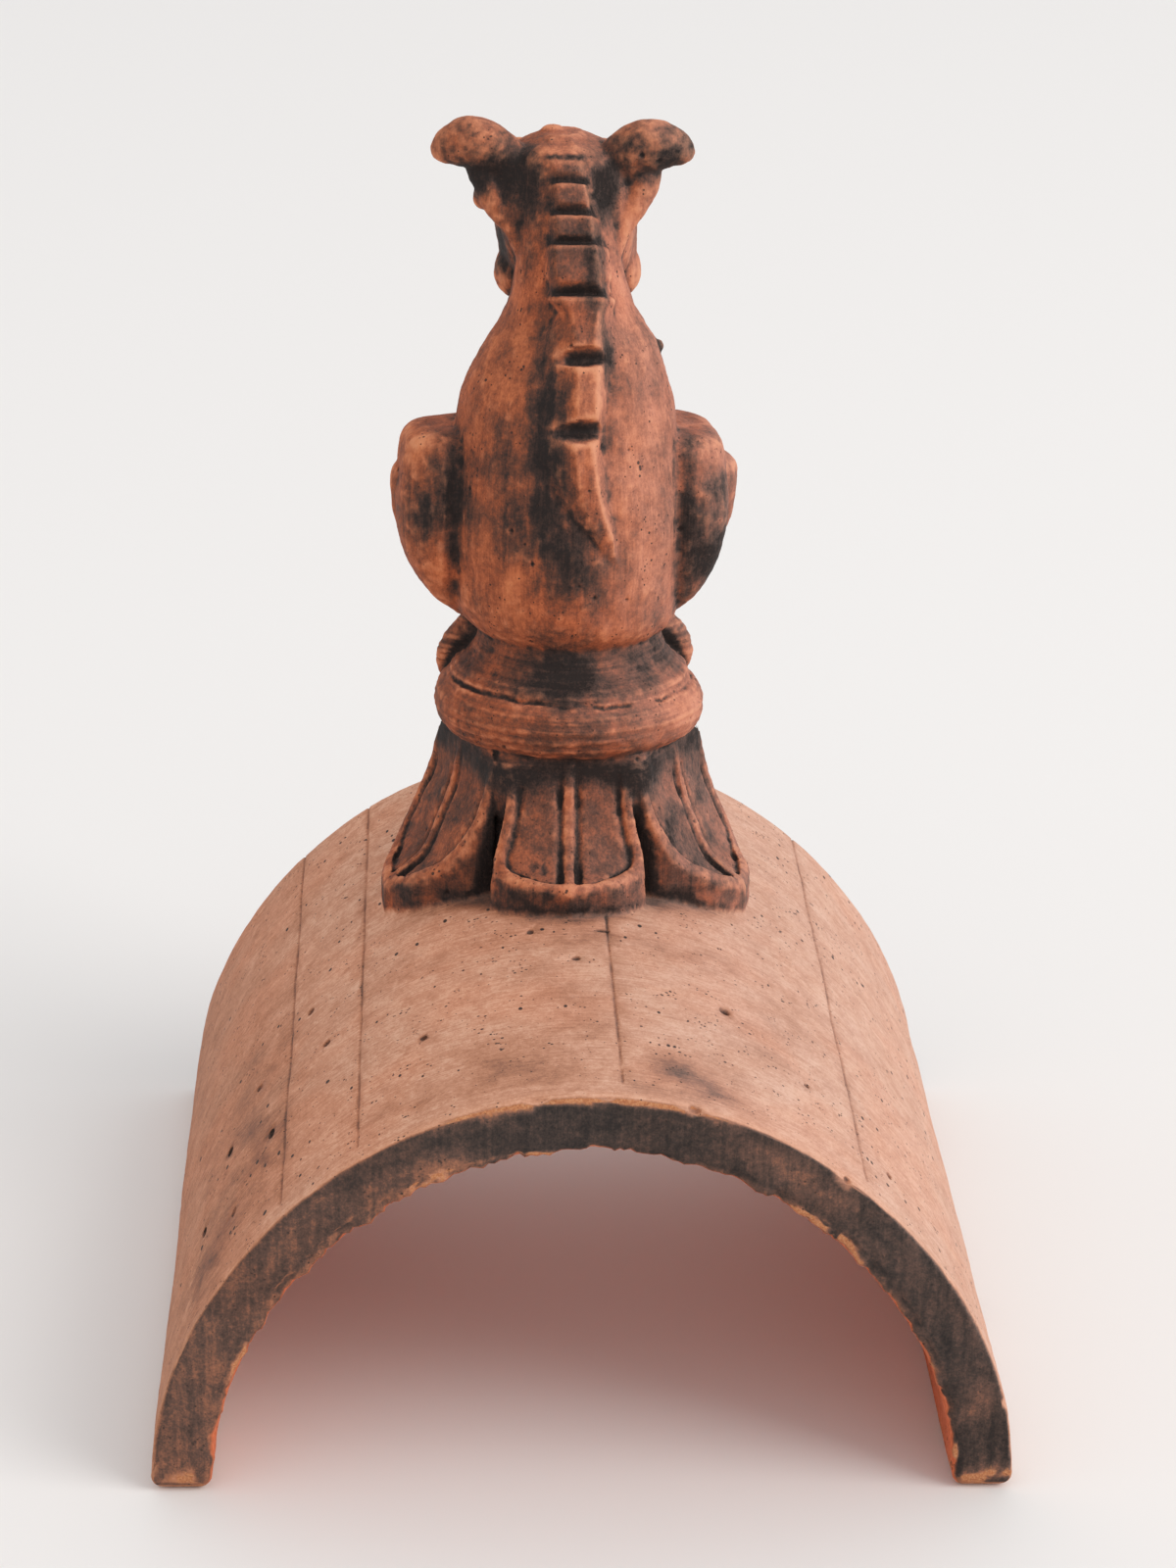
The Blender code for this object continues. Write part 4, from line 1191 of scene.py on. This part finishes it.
# the wash is rough with speckle, strokes and grit: less on the slab, and more on its cut ends
*rough, ragged = (
    add("Math", TIMES, (add("Math", MINUS, (pattern, 0.5)), share))
    for pattern, share in ((speckle, 0.45), (strokes, 0.42), (grit, 0.4), (speckle, 0.9)))
uneven = add("Math", PLUS, (add("Math", PLUS, rough[:2]), rough[2]))
strength = add("Math", PLUS, (add("Math", TIMES, (told["slab"], -0.2)), 1))
strength = add("Math", PLUS, (strength, add("Math", TIMES, (told["cut_face"], 0.25))))
uneven = add("Math", TIMES, (uneven, strength))
wash_and_shading_here = add("Math", PLUS | CLAMPED, (told["wash"], uneven))
drift = add("MapRange", SOFT_STEP, (drifts, 0.42, 0.75))
cluster = add("MapRange", SOFT_STEP, (clusters, 0.4, 0.75))
free_slab = add("Math", TIMES, (
    told["slab"], add("Math", MINUS, (1, told["cut_face"]))))
marks = []
# where the dots are large, their size, their pattern, the soft edge's two ends, their strength
for where, size, pattern, soft, hard, share in (
    (drift, 0.3, pores, -0.05, 0.04, 0.85), (cluster, 0.24, specks, -0.03, 0.05, free_slab),
):
    size = add("Math", TIMES, (where, size))
    mark = add("Math", MINUS, (size, pattern))
    mark = add("MapRange", SOFT_STEP, (mark, soft, hard))
    marks.append(add("Math", TIMES, (mark, share)))
for mark, dark in zip(marks, (0.9, 0.85)):
    mark = add("Math", TIMES, (mark, dark))
    wash_and_shading_here = add("Math", LARGER, (wash_and_shading_here, mark))
unwashed = add("Math", MINUS | CLAMPED, (1, wash_and_shading_here))
print("washed terracotta so far:", len(tree.nodes), "nodes")

# %% Colour and relief
colours = []
for factor, stops in (
    (wash_and_shading_here, ((0, "#CC7A4E"), (0.2, "#B86741"), (0.4, "#955033"), (0.6, "#673D2D"),
                 (0.8, "#3E2C26"), (1, "#241C1A"))),
    (wash_and_shading_here, ((0, "#D8A68A"), (0.12, "#C68D70"), (0.25, "#B2795B"), (0.42, "#8F5F49"),
                 (0.62, "#5F463C"), (0.82, "#3E322D"), (1, "#2A2321"))),
    (grit, ((0.25, "#98583B"), (0.5, "#B87850"), (0.75, "#CC946C"))),
):
    colours.append(add("ValToRGB", {}, (factor,)))
    elements = colours[-1].node.color_ramp.elements
    while len(elements) < len(stops):
        elements.new(0.5)
    for element, (place, colour) in zip(elements, stops):
        element.position = place
        element.color = linear(colour)
figure_colour, slab_colour, orange = colours
warmth, paleness = (
    add("Math", TIMES, (add("MapRange", SOFT_STEP, (pattern, low, high)), share))
    for pattern, low, high, share in ((broad_cloud, 0.42, 0.62, 0.6), (cloud, 0.5, 0.7, 0.2)))
# a painted sheen: the side that faces the window light is mixed towards a pale pink
window_sheen = add("Math", PLUS, (add("Math", TIMES, (cloud, 0.24)), 0.12))
window_sheen = add("Math", TIMES, (add("Math", TIMES, (told["window_sheen"], unwashed)), window_sheen))
# the rub colour shows clean clay on rubbed edges and paints the highlights on the crest's ledges
# and right edge
rub_and_highlight = add("Math", TIMES, (add("Math", TIMES, (told["rubbed_and_highlit"], unwashed)), 0.4))
broken = add("Math", PLUS, (told["raw"], ragged))
broken = add("MapRange", SOFT_STEP, (broken, 0.35, 0.65))
colour = figure_colour
for factor, blend, tint in (
    (told["slab"], "MIX", slab_colour), (warmth, "MULTIPLY", (1.06, 0.93, 0.85, 1)),
    (paleness, "MULTIPLY", (1.06, 1.06, 1.08, 1)),
    # painted shade and bounce light make the inside of the arch darker and more orange; the painted
    # sheen goes pale on the window side
    (told["inner"], "MULTIPLY", (1.1, 0.62, 0.44, 1)), (window_sheen, "MIX", linear("#D8C6BF")),
    (rub_and_highlight, "MIX", linear("#DA9C78")), (broken, "MIX", orange),
):
    colour = add("Mix", {"data_type": "RGBA", "blend_type": blend},
                 {0: factor, 6: colour, 7: tint}, 2)
relief = add("Math", PLUS, [
    add("Math", TIMES, (pattern, share))
    for pattern, share in ((grit, 0.22), (strokes, 0.18))])
relief = add("Math", MINUS, (relief, add("Math", TIMES, (marks[0], 0.6))))
bump = add("Bump", {}, {"Strength": 0.9, "Distance": 0.6 * MM, "Height": relief})
add(tree.nodes["Principled BSDF"], {}, {
    "Base Color": colour, "IOR": 1.36, "Roughness": 0.8, "Normal": bump})
clay.materials.clear()
clay.materials.append(clay_stuff)
print("washed terracotta:", len(tree.nodes), "nodes")

# %% [markdown]
# ## Ride the frame
# The piece stands for the one solid of the construction model, and moves with its one body.

# %% Tie the piece to the construction
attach(piece, "root")
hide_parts("ridge_tile")
print("dragon_ridge_tile stands for ridge_tile")

# %% [markdown]
# ## The studio
# A whitewashed floor, one large window light from the right and a pale room around. Soft
# light comes from a large lamp: the bigger it is, the softer the shadows' edges.

# %% Floor
FLOOR_SIZE = 16

boards = bpy.data.materials.new("whitewashed boards")
boards.use_nodes = True
surface = boards.node_tree.nodes["Principled BSDF"].inputs
surface["Base Color"].default_value = linear("#ECE9E7")
surface["Roughness"].default_value = 0.7
bm = bmesh.new()
bmesh.ops.create_grid(bm, x_segments=4, y_segments=4, size=FLOOR_SIZE / 2)
floor = as_object(as_mesh(bm, "floor"), "floor")
floor.data.materials.append(boards)
print("floor set:", FLOOR_SIZE, "m")

# %% Light
WINDOW_PLACE, WINDOW_AIM = Vector((5, -2.7, 4.25)), Vector((0, 0, 0.15))

lamp = bpy.data.lights.new("window", "AREA")
lamp.shape = "SQUARE"
lamp.size = 4.3
lamp.energy = 236
lamp.color = linear("#FFFDFA")[:3]
window = as_object(lamp, "window")
window.location = WINDOW_PLACE
window.rotation_euler = (WINDOW_AIM - WINDOW_PLACE).to_track_quat("-Z", "Y").to_euler()
world = bpy.data.worlds.new("pale room")
world.use_nodes = True
sky = world.node_tree.nodes["Background"].inputs
sky["Color"].default_value = linear("#FAFBFC")
sky["Strength"].default_value = 0.87
bpy.context.scene.world = world
bpy.context.scene.view_settings.view_transform = "Standard"
print("one window and a pale room")
